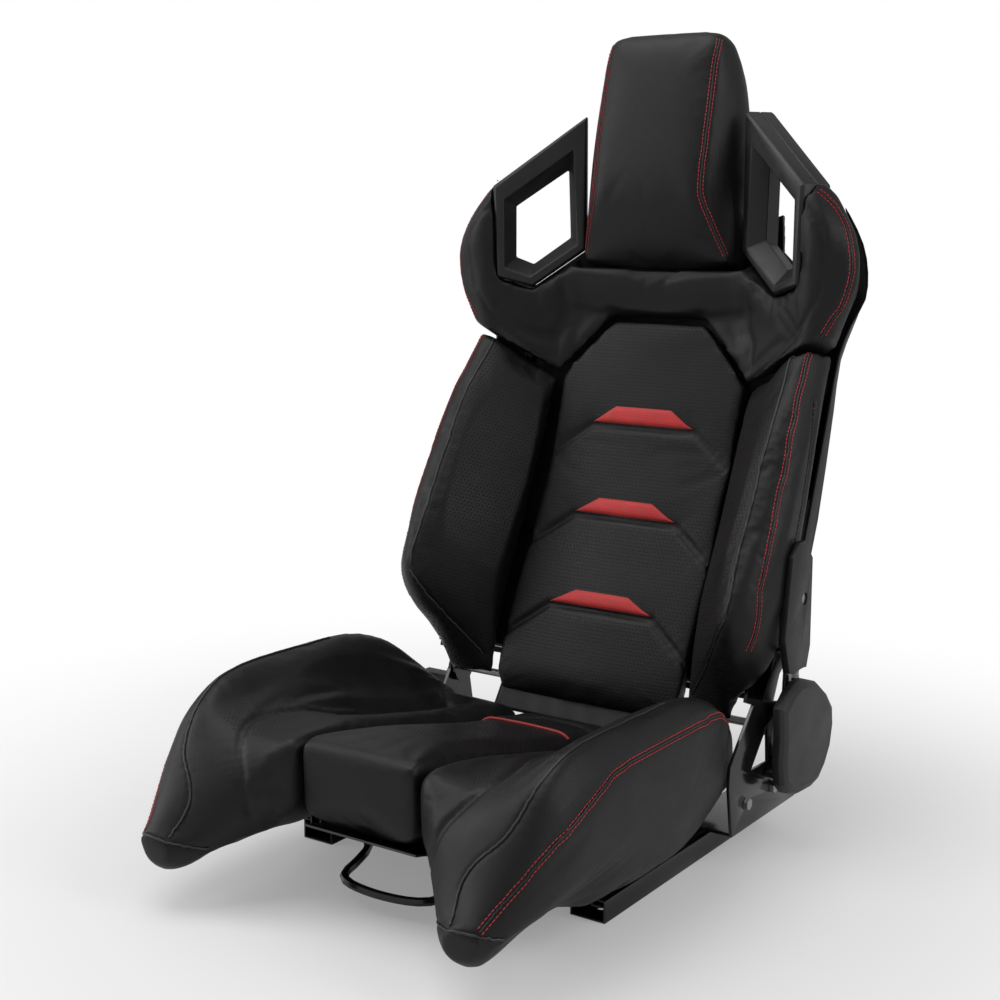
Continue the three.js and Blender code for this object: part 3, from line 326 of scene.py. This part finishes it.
def setCoords(obj, points):
    obj.data.vertices.foreach_set("co", np.asarray(points, float).ravel())
    obj.data.update()


def setMaterial(obj, name):
    obj.data.materials.clear()
    obj.data.materials.append(finishes[name])


def smoothLine(points, step=3.0 * mm):  # an even run of points on a smooth curve through the given ones
    dense = []
    ends = [points[0] * 2 - points[1]] + list(points) + [points[-1] * 2 - points[-2]]
    for i in range(1, len(ends) - 2):
        a, b, c, d = ends[i - 1:i + 3]
        for k in range(24):
            t = k / 24
            dense.append(0.5 * ((2 * b) + (c - a) * t + (2 * a - 5 * b + 4 * c - d) * t * t
                                + (3 * b - a - 3 * c + d) * t ** 3))
    dense.append(points[-1])
    reach = np.concatenate([[0], np.cumsum([(q - p).length for p, q in zip(dense, dense[1:])])])
    count = max(2, int(reach[-1] / step) + 1)
    flat = np.array([tuple(p) for p in dense])
    return np.stack([np.interp(np.linspace(0, reach[-1], count), reach, flat[:, k]) for k in range(3)], 1)


def away(points, lines):  # distance from each point to the nearest point of any line
    far = np.full(len(points), 1.0)
    for line in lines:
        for start in range(0, len(line), 64):
            gap = np.linalg.norm(points[:, None, :] - line[None, start:start + 64, :], axis=2).min(1)
            far = np.minimum(far, gap)
    return far


def mirrorLine(line):
    return line * np.array([-1, 1, 1])


# ---- stuffed pads ----
stuffing = {"voxel": 6 * mm, "inset": 2.2 * mm, "pressure": 3.5, "frames": 12, "cap": 7 * mm, "pinned": 5 * mm}


def stuff(obj, seams, cap):
    before = coords(obj)
    group = obj.vertex_groups.new(name="sewn")
    near = away(before, seams) if seams else np.ones(len(before))
    for i in np.nonzero(near < stuffing["pinned"])[0]:
        group.add([int(i)], 1.0, "REPLACE")
    pick(obj)
    cloth = obj.modifiers.new("cloth", "CLOTH")
    cloth.settings.quality = 4
    cloth.settings.tension_stiffness = 18
    cloth.settings.compression_stiffness = 18
    cloth.settings.bending_stiffness = 0.6
    cloth.settings.use_pressure = True
    cloth.settings.uniform_pressure_force = stuffing["pressure"]
    cloth.settings.effector_weights.gravity = 0
    cloth.settings.vertex_group_mass = "sewn"
    cloth.point_cache.frame_start = 1
    cloth.point_cache.frame_end = stuffing["frames"]
    for step in range(1, stuffing["frames"] + 1):
        bpy.context.scene.frame_set(step)
    bpy.ops.object.modifier_apply(modifier=cloth.name)
    bpy.context.scene.frame_set(1)
    move = coords(obj) - before
    size = np.linalg.norm(move, axis=1, keepdims=True)
    setCoords(obj, before + move * np.minimum(1, cap / np.maximum(size, 1e-9)))
    obj.vertex_groups.clear()


def makePad(node, name, seams=(), cap=None, ease=3):
    pad = copyNode(node, name)
    applyModifier(pad, "REMESH", mode="VOXEL", voxel_size=stuffing["voxel"])
    applyModifier(pad, "SMOOTH", factor=0.5, iterations=ease)
    setCoords(pad, coords(pad) - normals(pad) * stuffing["inset"])
    stuff(pad, seams, cap or stuffing["cap"])
    applyModifier(pad, "SUBSURF", levels=1, render_levels=1)
    pick(pad)
    bpy.ops.object.shade_smooth()
    return pad


def snap(pad, line):  # the line laid on the pad, with the surface normal at each point
    tree = BVHTree.FromObject(pad, bpy.context.evaluated_depsgraph_get())
    hits = [tree.find_nearest(Vector(p)) for p in line]
    return np.array([tuple(h[0]) for h in hits]), np.array([tuple(h[1]) for h in hits])


def groove(pad, lines, depth, width, pucker=0.0):
    points, out = coords(pad), normals(pad)
    for line in lines:
        gap = away(points, [line])
        near = np.nonzero(gap < 6 * width)[0]
        index = np.linalg.norm(points[near][:, None, :] - line[None], axis=2).argmin(1)
        wave = 1 + 0.5 * np.sin(index * 1.9 + np.sin(index * 0.37) * 2)
        drop = depth * np.exp(-(gap[near] / width) ** 2) + pucker * wave * np.exp(-gap[near] / (3.2 * width))
        points[near] -= out[near] * drop[:, None]
    setCoords(pad, points)


def setPanel(pad, across, up, mask):
    for label, kind, values in (("panel", "FLOAT_VECTOR", np.stack([across, up, 0 * up], 1).ravel()), ("perforated", "FLOAT", mask)):
        attribute = pad.data.attributes.new(label, kind, "POINT")
        attribute.data.foreach_set("vector" if kind == "FLOAT_VECTOR" else "value", values.astype(np.float32))


def finishPad(pad, nodes, body, finish):
    setMaterial(pad, finish)
    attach(pad, body)
    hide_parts(*nodes)
    return pad


def frameAlong(line, out):
    ahead = np.gradient(line, axis=0)
    ahead /= np.maximum(np.linalg.norm(ahead, axis=1, keepdims=True), 1e-9)
    side = np.cross(ahead, out)
    side /= np.maximum(np.linalg.norm(side, axis=1, keepdims=True), 1e-9)
    return ahead, side, np.cross(side, ahead)


def tubeAlong(name, line, up, radius, body, finish="cord", sides=8):
    points = [Vector(p) for p in line]
    curve = bpy.data.curves.new(name, "CURVE")
    curve.dimensions = "3D"
    curve.bevel_depth = radius
    curve.bevel_resolution = 2
    curve.use_fill_caps = True
    run = curve.splines.new("POLY")
    run.points.add(len(points) - 1)
    for place3, point in zip(run.points, points):
        place3.co = (*point, 1)
    obj = bpy.data.objects.new(name, curve)
    bpy.context.scene.collection.objects.link(obj)
    pick(obj)
    bpy.ops.object.convert(target="MESH")
    bpy.ops.object.shade_smooth()
    obj = bpy.context.object
    obj.name = name
    setMaterial(obj, finish)
    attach(obj, body)
    return obj


stitch = {"length": 3.6 * mm, "pitch": 4.9 * mm, "radius": 0.55 * mm, "lift": 0.35 * mm, "spread": 6.5 * mm}


def makeStitch():
    bpy.ops.object.select_all(action="DESELECT")
    bpy.ops.mesh.primitive_cylinder_add(vertices=6, radius=stitch["radius"], depth=stitch["length"], rotation=(0, math.pi / 2, 0))
    obj = bpy.context.object
    bpy.ops.object.transform_apply(rotation=True)
    bpy.ops.object.mode_set(mode="EDIT")
    bpy.ops.mesh.select_all(action="SELECT")
    bpy.ops.mesh.bevel(offset=0.25 * mm, segments=1)
    bpy.ops.object.mode_set(mode="OBJECT")
    mesh = obj.data
    bpy.data.objects.remove(obj)
    return mesh


stitchMesh = makeStitch()


def stitchRows(name, pad, line, offsets, body):
    whole = bmesh.new()
    tree = BVHTree.FromObject(pad, bpy.context.evaluated_depsgraph_get())
    on, out = snap(pad, line)
    ahead, side, _ = frameAlong(on, out)
    for offset in offsets:
        row = smoothLine([Vector(p) for p in (on + side * offset)[::4]], stitch["pitch"])
        for start, end in zip(row, row[1:]):
            spot, normal, _, _ = tree.find_nearest(Vector((start + end) / 2))
            forward = Vector(end - start).normalized()
            across = normal.cross(forward).normalized()
            turn = Matrix((forward, across, forward.cross(across))).transposed().to_4x4()
            piece = stitchMesh.copy()
            piece.transform(Matrix.Translation(spot + normal * stitch["lift"]) @ turn)
            whole.from_mesh(piece)
            bpy.data.meshes.remove(piece)
    mesh = bpy.data.meshes.new(name)
    whole.to_mesh(mesh)
    whole.free()
    obj = bpy.data.objects.new(name, mesh)
    bpy.context.scene.collection.objects.link(obj)
    setMaterial(obj, "thread")
    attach(obj, body)
    return obj


def flip(obj, name):  # the same shape on the other side, turned right way out
    twin = obj.copy()
    twin.data = obj.data.copy()
    twin.name = name
    bpy.context.scene.collection.objects.link(twin)
    twin.data.transform(Matrix.Scale(-1, 4, (1, 0, 0)))
    twin.data.flip_normals()
    return twin


# ---- seams, as places on the drawing in millimetres ----
def backLine(points, step=3.0 * mm):
    return smoothLine([backPoint(*p) for p in points], step)


def seatLine(points, step=3.0 * mm):
    return smoothLine([seatPoint(*p) for p in points], step)


def cornered(points, maker):  # straight runs between corners, as one line
    runs = [maker([a, b]) for a, b in zip(points, points[1:])]
    return np.concatenate(runs)


chevrons = [
    {"corner": (74, 288), "outer": (134, 242), "top": (40, 311), "front": -13},
    {"corner": (74, 169), "outer": (134, 122), "top": (38, 190), "front": -15},
    {"corner": (75, 48), "outer": (134, 0), "top": (38, 68), "front": -2},
]
chevronLines = []
for c in chevrons:
    (cx, cz), (ox, oz) = c["corner"], c["outer"]
    chevronLines.append(cornered([(-ox, oz, c["front"] - 4), (-cx, cz, c["front"]), (cx, cz, c["front"]), (ox, oz, c["front"] - 4)], backLine))
backTopLine = cornered([(-134, 353, -7), (-67, 427, 1), (67, 427, 1), (134, 353, -7)], backLine)
backEdgeLine = backLine([(135, -60, -6), (135, 60, -6), (135, 130, -14), (135, 200, -19), (135, 260, -18), (135, 350, -8)])
backPiping = backLine([(206, 400, 46), (213, 350, 60), (219, 290, 80), (222, 190, 100), (223, 100, 112), (222, 56, 108)])
backPipingLow = backLine([(222, 50, 106), (196, 16, 66), (172, -10, 32), (150, -32, 3)])
backSeam = backLine([(237, 392, 46), (243, 350, 62), (250, 290, 78), (257, 190, 87), (259, 100, 88), (258, 46, 78), (247, 16, 66)])
backZip = backLine([(254, 329, 38), (254, 278, 36), (255, 217, 34), (255, 172, 34), (255, 120, 32), (255, 90, 30)])
wingSeam = backLine([(234, 563, 102), (253, 549, 92), (266, 533, 86), (275, 514, 82), (281, 492, 77), (281, 471, 68),
                     (273, 439, 58), (264, 424, 55), (248, 400, 48)])
wingCrease = backLine([(219, 539, 109), (235, 527, 108), (247, 512, 103), (252, 495, 98), (252, 480, 91), (247, 449, 75),
                       (234, 425, 66), (209, 398, 44), (170, 372, 16), (140, 355, -4)])
headSeam = backLine([(78, 750, 126), (77, 713, 125), (78, 652, 116), (77, 593, 105), (78, 560, 97), (83, 543, 84),
                     (91, 523, 69), (104, 497, 48)])
cushionSeam = seatLine([(220, -30, 87), (228, -9, 105), (241, 16, 127), (251, 42, 148), (258, 73, 166), (260, 102, 179),
                        (260, 131, 191), (260, 160, 197), (260, 252, 198), (259, 304, 197), (254, 365, 194),
                        (248, 401, 184), (240, 432, 166)])
cushionRidge = seatLine([(183, -28, 85), (178, -6, 111), (187, 7, 134), (208, 20, 156), (218, 36, 176), (224, 60, 205),
                         (229, 96, 228), (231, 150, 234), (231, 220, 236), (230, 290, 234)])
cushionCurve = seatLine([(117, 26, 108), (125, 23, 131), (131, 29, 148), (142, 38, 164), (152, 50, 176), (160, 66, 186),
                         (164, 90, 190), (156, 130, 190), (134, 200, 171), (134, 300, 148), (135, 400, 128)])
toeSeam = seatLine([(150, -2, 70), (165, -20, 76), (184, -34, 82), (203, -36, 83), (222, -30, 82), (236, -10, 74)])
pocketHigh = seatLine([(261, 180, 158), (261, 245, 150), (258, 310, 138), (256, 343, 132), (250, 362, 118)])
pocketLow = seatLine([(254, 96, 101), (256, 120, 110), (258, 145, 120)])
pommelEdge = seatLine([(-74, 68, 190), (-39, 67, 191), (0, 68, 192), (39, 67, 191), (74, 68, 190)])
loinLine = cornered([(-77, 418, 124), (-30, 446, 120), (30, 446, 120), (77, 418, 124)], seatLine)
print("seams drawn")

# ---- the pads ----
centre = makePad("backrest_centre_pad", "backCentrePanel", chevronLines + [backTopLine, backEdgeLine, mirrorLine(backEdgeLine)])
groove(centre, chevronLines, 4.5 * mm, 4.5 * mm, 0.5 * mm)
points = coords(centre)
away3 = away(points, chevronLines)
setPanel(centre, points[:, 0], (points[:, 2] - backOrigin.z) / math.cos(lean), np.clip((away3 - 6 * mm) / (4 * mm), 0, 1))
finishPad(centre, ["backrest_centre_pad"], "backrest", "holed")

bolster = makePad("backrest_bolster_left", "backBolsterLeft", [backPiping, backPipingLow, backSeam])
groove(bolster, [backPiping, backPipingLow, backSeam], 2.2 * mm, 3 * mm, 0.35 * mm)
groove(bolster, [backZip], 3.5 * mm, 4 * mm)
points = coords(bolster)
local = points - np.array(backOrigin)
frontOf = -(local[:, 1] * math.cos(lean) - local[:, 2] * math.sin(lean))
upBack = local[:, 1] * math.sin(lean) + local[:, 2] * math.cos(lean)
slope = math.atan2(100, 85)
lineFree = np.clip((away(points, [backPiping, backPipingLow]) - 7 * mm) / (3 * mm), 0, 1)
inner = (points[:, 0] < 216 * mm) & (frontOf > -8 * mm)
setPanel(bolster, points[:, 0] * math.cos(slope) + frontOf * math.sin(slope), upBack, lineFree * inner)
bolsterRight = flip(bolster, "backBolsterRight")
finishPad(bolster, ["backrest_bolster_left"], "backrest", "holed")
finishPad(bolsterRight, ["backrest_bolster_right"], "backrest", "holed")

shoulder = makePad("shoulder_pad", "shoulderPad", [wingSeam, mirrorLine(wingSeam), wingCrease, mirrorLine(wingCrease)], 5 * mm)
groove(shoulder, [wingSeam, mirrorLine(wingSeam)], 2.0 * mm, 2.6 * mm, 0.35 * mm)
groove(shoulder, [wingCrease, mirrorLine(wingCrease)], 2.6 * mm, 3.2 * mm, 0.3 * mm)
finishPad(shoulder, ["shoulder_pad"], "backrest", "pad")

head = makePad("headrest_pad", "headrestPad", [headSeam, mirrorLine(headSeam)])
groove(head, [headSeam, mirrorLine(headSeam)], 1.8 * mm, 2.6 * mm, 0.35 * mm)
finishPad(head, ["headrest_pad"], "backrest", "pad")
print("back stuffed")

seatCentre = makePad("cushion_centre_pad", "cushionCentre", [pommelEdge, loinLine], 6 * mm)
groove(seatCentre, [pommelEdge], 1.2 * mm, 4 * mm)
groove(seatCentre, [loinLine], 4 * mm, 5 * mm, 0.4 * mm)
points = coords(seatCentre)
rearHalf = np.clip((points[:, 1] - seatShift - 150 * mm) / (30 * mm), 0, 1)
setPanel(seatCentre, points[:, 0], points[:, 1], rearHalf * (normals(seatCentre)[:, 2] > 0.5))
finishPad(seatCentre, ["cushion_centre_pad"], "seat_base", "holed")

side = makePad("cushion_bolster_left", "cushionBolsterLeft", [cushionSeam, cushionRidge, cushionCurve, toeSeam])
groove(side, [cushionSeam, cushionRidge], 1.8 * mm, 3 * mm, 0.4 * mm)
groove(side, [cushionCurve], 4 * mm, 5 * mm, 0.5 * mm)
groove(side, [toeSeam], 2.2 * mm, 3 * mm, 0.3 * mm)
groove(side, [pocketHigh, pocketLow], 1.0 * mm, 2 * mm)
points = coords(side)
strip = (points[:, 0] > 135 * mm) & (points[:, 0] < 226 * mm) & (points[:, 1] - seatShift < 160 * mm)
lineFree = np.clip((away(points, [cushionRidge, cushionCurve, toeSeam]) - 7 * mm) / (4 * mm), 0, 1)
setPanel(side, points[:, 0], points[:, 1], lineFree * strip * (normals(side)[:, 2] > 0.9))
sideRight = flip(side, "cushionBolsterRight")
finishPad(side, ["cushion_bolster_left"], "seat_base", "holed")
finishPad(sideRight, ["cushion_bolster_right"], "seat_base", "holed")
print("cushion stuffed")

# ---- piping and stitching ----
sewn = [
    ("backSeam", bolster, bolsterRight, backSeam, "backrest"),
    ("wingSeam", shoulder, shoulder, wingSeam, "backrest"),
    ("headrestSeam", head, head, headSeam, "backrest"),
    ("cushionSeam", side, sideRight, cushionSeam, "seat_base"),
]
for label, leftPad, rightPad, line, body in sewn:
    for sideName, pad, path in (("Left", leftPad, line), ("Right", rightPad, mirrorLine(line))):
        stitchRows(f"{label}Stitches{sideName}", pad, path, (-stitch["spread"] / 2, stitch["spread"] / 2), body)
        on, out = snap(pad, path)
        tubeAlong(f"{label}Piping{sideName}", on + out * 0.1 * mm, out, 0.9 * mm, body)
for label, leftPad, rightPad, line, body in [
        ("backPiping", bolster, bolsterRight, backPiping, "backrest"), ("backPipingLow", bolster, bolsterRight, backPipingLow, "backrest"),
        ("cushionRidge", side, sideRight, cushionRidge, "seat_base"), ("toePiping", side, sideRight, toeSeam, "seat_base")]:
    for sideName, pad, path in (("Left", leftPad, line), ("Right", rightPad, mirrorLine(line))):
        on, out = snap(pad, path)
        tubeAlong(f"{label}{sideName}", on + out * 0.5 * mm, out, 1.3 * mm, body)
print("stitched")

# cover hanging from the lower edge of the back pad, behind the cushion
skirt = {"half": 128, "top": -60, "bottom": -94, "front": -20, "lean": 7}
bpy.ops.object.select_all(action="DESELECT")
bpy.ops.mesh.primitive_grid_add(x_subdivisions=40, y_subdivisions=8, size=2)
cover = bpy.context.object
cover.name = "backSkirt"
for vertex in cover.data.vertices:
    u, v = vertex.co.x, (vertex.co.y + 1) / 2
    fold = 0.8 * math.sin(u * 23 + v * 2) * (1 - v)
    front = skirt["front"] + skirt["lean"] * (1 - v) + fold
    vertex.co = backPoint(u * skirt["half"], skirt["bottom"] + (skirt["top"] - skirt["bottom"]) * v, front)
applyModifier(cover, "SOLIDIFY", thickness=2.5 * mm, offset=0)
pick(cover)
bpy.ops.object.mode_set(mode="EDIT")
bpy.ops.mesh.select_all(action="SELECT")
bpy.ops.mesh.normals_make_consistent(inside=False)
bpy.ops.object.mode_set(mode="OBJECT")
bpy.ops.object.shade_smooth()
setMaterial(cover, "pad")
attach(cover, "backrest")



# ---- red panels sewn into the chevrons ----
def redInsert(name, pad, lowHalf, topHalf, low, high, front, maker, body):
    columns, rows = 36, 8
    bpy.ops.object.select_all(action="DESELECT")
    bpy.ops.mesh.primitive_grid_add(x_subdivisions=columns, y_subdivisions=rows, size=2)
    obj = bpy.context.object
    obj.name = name
    tree = BVHTree.FromObject(pad, bpy.context.evaluated_depsgraph_get())
    across, up = [], []
    for vertex in obj.data.vertices:
        u, v = vertex.co.x, (vertex.co.y + 1) / 2
        half = lowHalf + (topHalf - lowHalf) * v
        height = low + (high - low) * v
        place3 = maker(u * half, height, front)
        spot, normal, _, _ = tree.find_nearest(place3)
        crown = (1 - u ** 8) * (1 - (2 * v - 1) ** 4)
        vertex.co = spot + normal * (0.3 + 1.9 * crown) * mm
        across.append(u * half * mm)
        up.append(height * mm)
    setPanel(obj, np.array(across), np.array(up), np.ones(len(across)))
    applyModifier(obj, "SOLIDIFY", thickness=2.0 * mm, offset=0)
    pick(obj)
    bpy.ops.object.mode_set(mode="EDIT")
    bpy.ops.mesh.select_all(action="SELECT")
    bpy.ops.mesh.normals_make_consistent(inside=False)
    bpy.ops.object.mode_set(mode="OBJECT")
    bpy.ops.object.shade_smooth()
    setMaterial(obj, "red")
    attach(obj, body)
    return obj


for i, c in enumerate(chevrons):
    redInsert(f"redInsert{i + 1}", centre, c["corner"][0] - 1, c["top"][0], c["corner"][1] + 2, c["top"][1] + 2, c["front"], backPoint, "backrest")
stripeLine = seatLine([(-62, 370, 131), (0, 370, 134), (62, 370, 131)])
on, out = snap(seatCentre, stripeLine)
tubeAlong("cushionStripe", on + out * 0.6 * mm, out, 2.0 * mm, "seat_base", "red")


# ---- zipper behind the outer seam ----
zipTooth = {"width": 4.2 * mm, "height": 1.5 * mm, "depth": 1.4 * mm, "pitch": 2.6 * mm}


def makeZip(name, pad, line, body):
    bpy.ops.object.select_all(action="DESELECT")
    bpy.ops.mesh.primitive_cube_add(size=1)
    tooth = bpy.context.object
    tooth.scale = (zipTooth["height"], zipTooth["width"], zipTooth["depth"])
    bpy.ops.object.transform_apply(scale=True)
    bpy.ops.object.mode_set(mode="EDIT")
    bpy.ops.mesh.bevel(offset=0.3 * mm, segments=1)
    bpy.ops.object.mode_set(mode="OBJECT")
    mesh = tooth.data
    bpy.data.objects.remove(tooth)
    on, out = snap(pad, line)
    row = smoothLine([Vector(p) for p in on[::3]], zipTooth["pitch"])
    tree = BVHTree.FromObject(pad, bpy.context.evaluated_depsgraph_get())
    whole = bmesh.new()
    for i, (start, end) in enumerate(zip(row, row[1:])):
        spot, normal, _, _ = tree.find_nearest(Vector((start + end) / 2))
        forward = Vector(end - start).normalized()
        across = normal.cross(forward).normalized()
        turn = Matrix((forward, across, forward.cross(across))).transposed().to_4x4()
        piece = mesh.copy()
        sidestep = across * (0.7 * mm if i % 2 else -0.7 * mm)
        piece.transform(Matrix.Translation(spot + normal * 0.6 * mm + sidestep) @ turn)
        whole.from_mesh(piece)
        bpy.data.meshes.remove(piece)
    done = bpy.data.meshes.new(name)
    whole.to_mesh(done)
    whole.free()
    obj = bpy.data.objects.new(name, done)
    bpy.context.scene.collection.objects.link(obj)
    setMaterial(obj, "plastic")
    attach(obj, body)


makeZip("backZipLeft", bolster, backZip, "backrest")
makeZip("backZipRight", bolsterRight, mirrorLine(backZip), "backrest")


# ---- hard parts with eased edges ----
def easeEdges(node, name, width, finish, angle=28):
    obj = copyNode(node, name)
    bpy.ops.object.mode_set(mode="EDIT")
    bpy.ops.mesh.select_all(action="SELECT")
    bpy.ops.mesh.dissolve_limited(angle_limit=math.radians(1.5))
    bpy.ops.object.mode_set(mode="OBJECT")
    applyModifier(obj, "BEVEL", width=width, segments=2, limit_method="ANGLE", angle_limit=math.radians(angle),
                  use_clamp_overlap=True, harden_normals=False)
    pick(obj)
    bpy.ops.object.shade_smooth_by_angle(angle=math.radians(35))
    setMaterial(obj, finish)
    bodies = frame["record"]["behaviour"]["bodies"]
    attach(obj, next(b for b, members in bodies.items() if node in members))
    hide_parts(node)
    return obj


for sideName in ("left", "right"):
    for end in ("front", "rear"):
        easeEdges(f"harness_bezel_{end}_{sideName}", f"bezel{end.title()}{sideName.title()}", 1.4 * mm, "plastic")
    easeEdges(f"lower_rail_{sideName}", f"floorRail{sideName.title()}", 0.7 * mm, "paint")
easeEdges("recliner_cover", "reclinerCover", 1.2 * mm, "plastic", 20)
easeEdges("arm_cover", "armCover", 1.5 * mm, "plastic")
easeEdges("recliner_bracket", "reclinerBracket", 0.8 * mm, "paint")
easeEdges("recliner_lever", "reclinerLever", 1.2 * mm, "plastic")
easeEdges("recliner_arm", "reclinerArm", 0.7 * mm, "paint")
easeEdges("back_shell", "backShell", 0.8 * mm, "plastic")
easeEdges("slide_handle", "slideHandle", 0.4 * mm, "paint", 60)
print("hard parts eased")

# ---- floor, light and camera ----
bpy.ops.object.select_all(action="DESELECT")
bpy.ops.mesh.primitive_plane_add(size=40)
floor = bpy.context.object
floor.name = "floor"
floorMaterial, tree, shader, place3d = newMaterial("paleFloor")
shader.inputs["Base Color"].default_value = (0.82, 0.82, 0.82, 1)
shader.inputs["Roughness"].default_value = 0.9
glow = tree.nodes.new("ShaderNodeEmission")
reach = tree.nodes.new("ShaderNodeVectorMath")
reach.operation = "LENGTH"
link(tree, place3d, reach.inputs[0])
fade = tree.nodes.new("ShaderNodeMapRange")
fade.interpolation_type = "SMOOTHSTEP"
link(tree, reach.outputs["Value"], fade.inputs["Value"])
for label, value in {"From Min": 0.25, "From Max": 1.15, "To Min": 0.25, "To Max": 1.0}.items():
    fade.inputs[label].default_value = value
floorRays = tree.nodes.new("ShaderNodeLightPath")
blend = tree.nodes.new("ShaderNodeMixShader")
link(tree, mathNode(tree, "MULTIPLY", fade.outputs["Result"], floorRays.outputs["Is Camera Ray"]), blend.inputs[0])
link(tree, shader.outputs[0], blend.inputs[1])
link(tree, glow.outputs[0], blend.inputs[2])
link(tree, blend.outputs[0], tree.nodes["Material Output"].inputs["Surface"])
floor.data.materials.append(floorMaterial)

world = bpy.data.worlds.new("studio")
bpy.context.scene.world = world
world.use_nodes = True
tree = world.node_tree
background = tree.nodes["Background"]
background.inputs["Color"].default_value = (1, 1, 1, 1)
rays = tree.nodes.new("ShaderNodeLightPath")
seen = mathNode(tree, "MAXIMUM", rays.outputs["Is Camera Ray"], 0.0)
link(tree, mathNode(tree, "MULTIPLY_ADD", seen, 0.6, 0.4), background.inputs["Strength"])


def softBox(name, place3, aim, width, height, power):
    bpy.ops.object.select_all(action="DESELECT")
    bpy.ops.object.light_add(type="AREA", location=place3)
    lamp = bpy.context.object
    lamp.name = name
    lamp.data.shape = "RECTANGLE"
    lamp.data.size = width
    lamp.data.size_y = height
    lamp.data.energy = power
    lamp.rotation_euler = (Vector(aim) - Vector(place3)).to_track_quat("-Z", "Y").to_euler()


middle = (0, 0, 0.45)
softBox("overhead", (-0.6, -0.4, 2.6), middle, 1.8, 1.8, 26)
softBox("leftBank", (-2.4, -1.2, 1.4), middle, 1.0, 1.8, 22)
softBox("rightBank", (2.3, 0.2, 1.5), middle, 0.8, 1.8, 16)

view = {"turn": 34.88, "rise": 10.34, "place": (1034.3, -1165.3, 741.8), "lens": 59.02}
bpy.ops.object.camera_add(location=seatPoint(*view["place"]))
camera = bpy.context.object
turn, rise = math.radians(view["turn"]), math.radians(view["rise"])
toCamera = Vector((math.sin(turn) * math.cos(rise), -math.cos(turn) * math.cos(rise), math.sin(rise)))
camera.rotation_euler = toCamera.to_track_quat("Z", "Y").to_euler()
camera.data.sensor_width = 36
camera.data.lens = view["lens"]
bpy.context.scene.camera = camera
bpy.context.scene.view_settings.view_transform = "Standard"

print("scene ready")
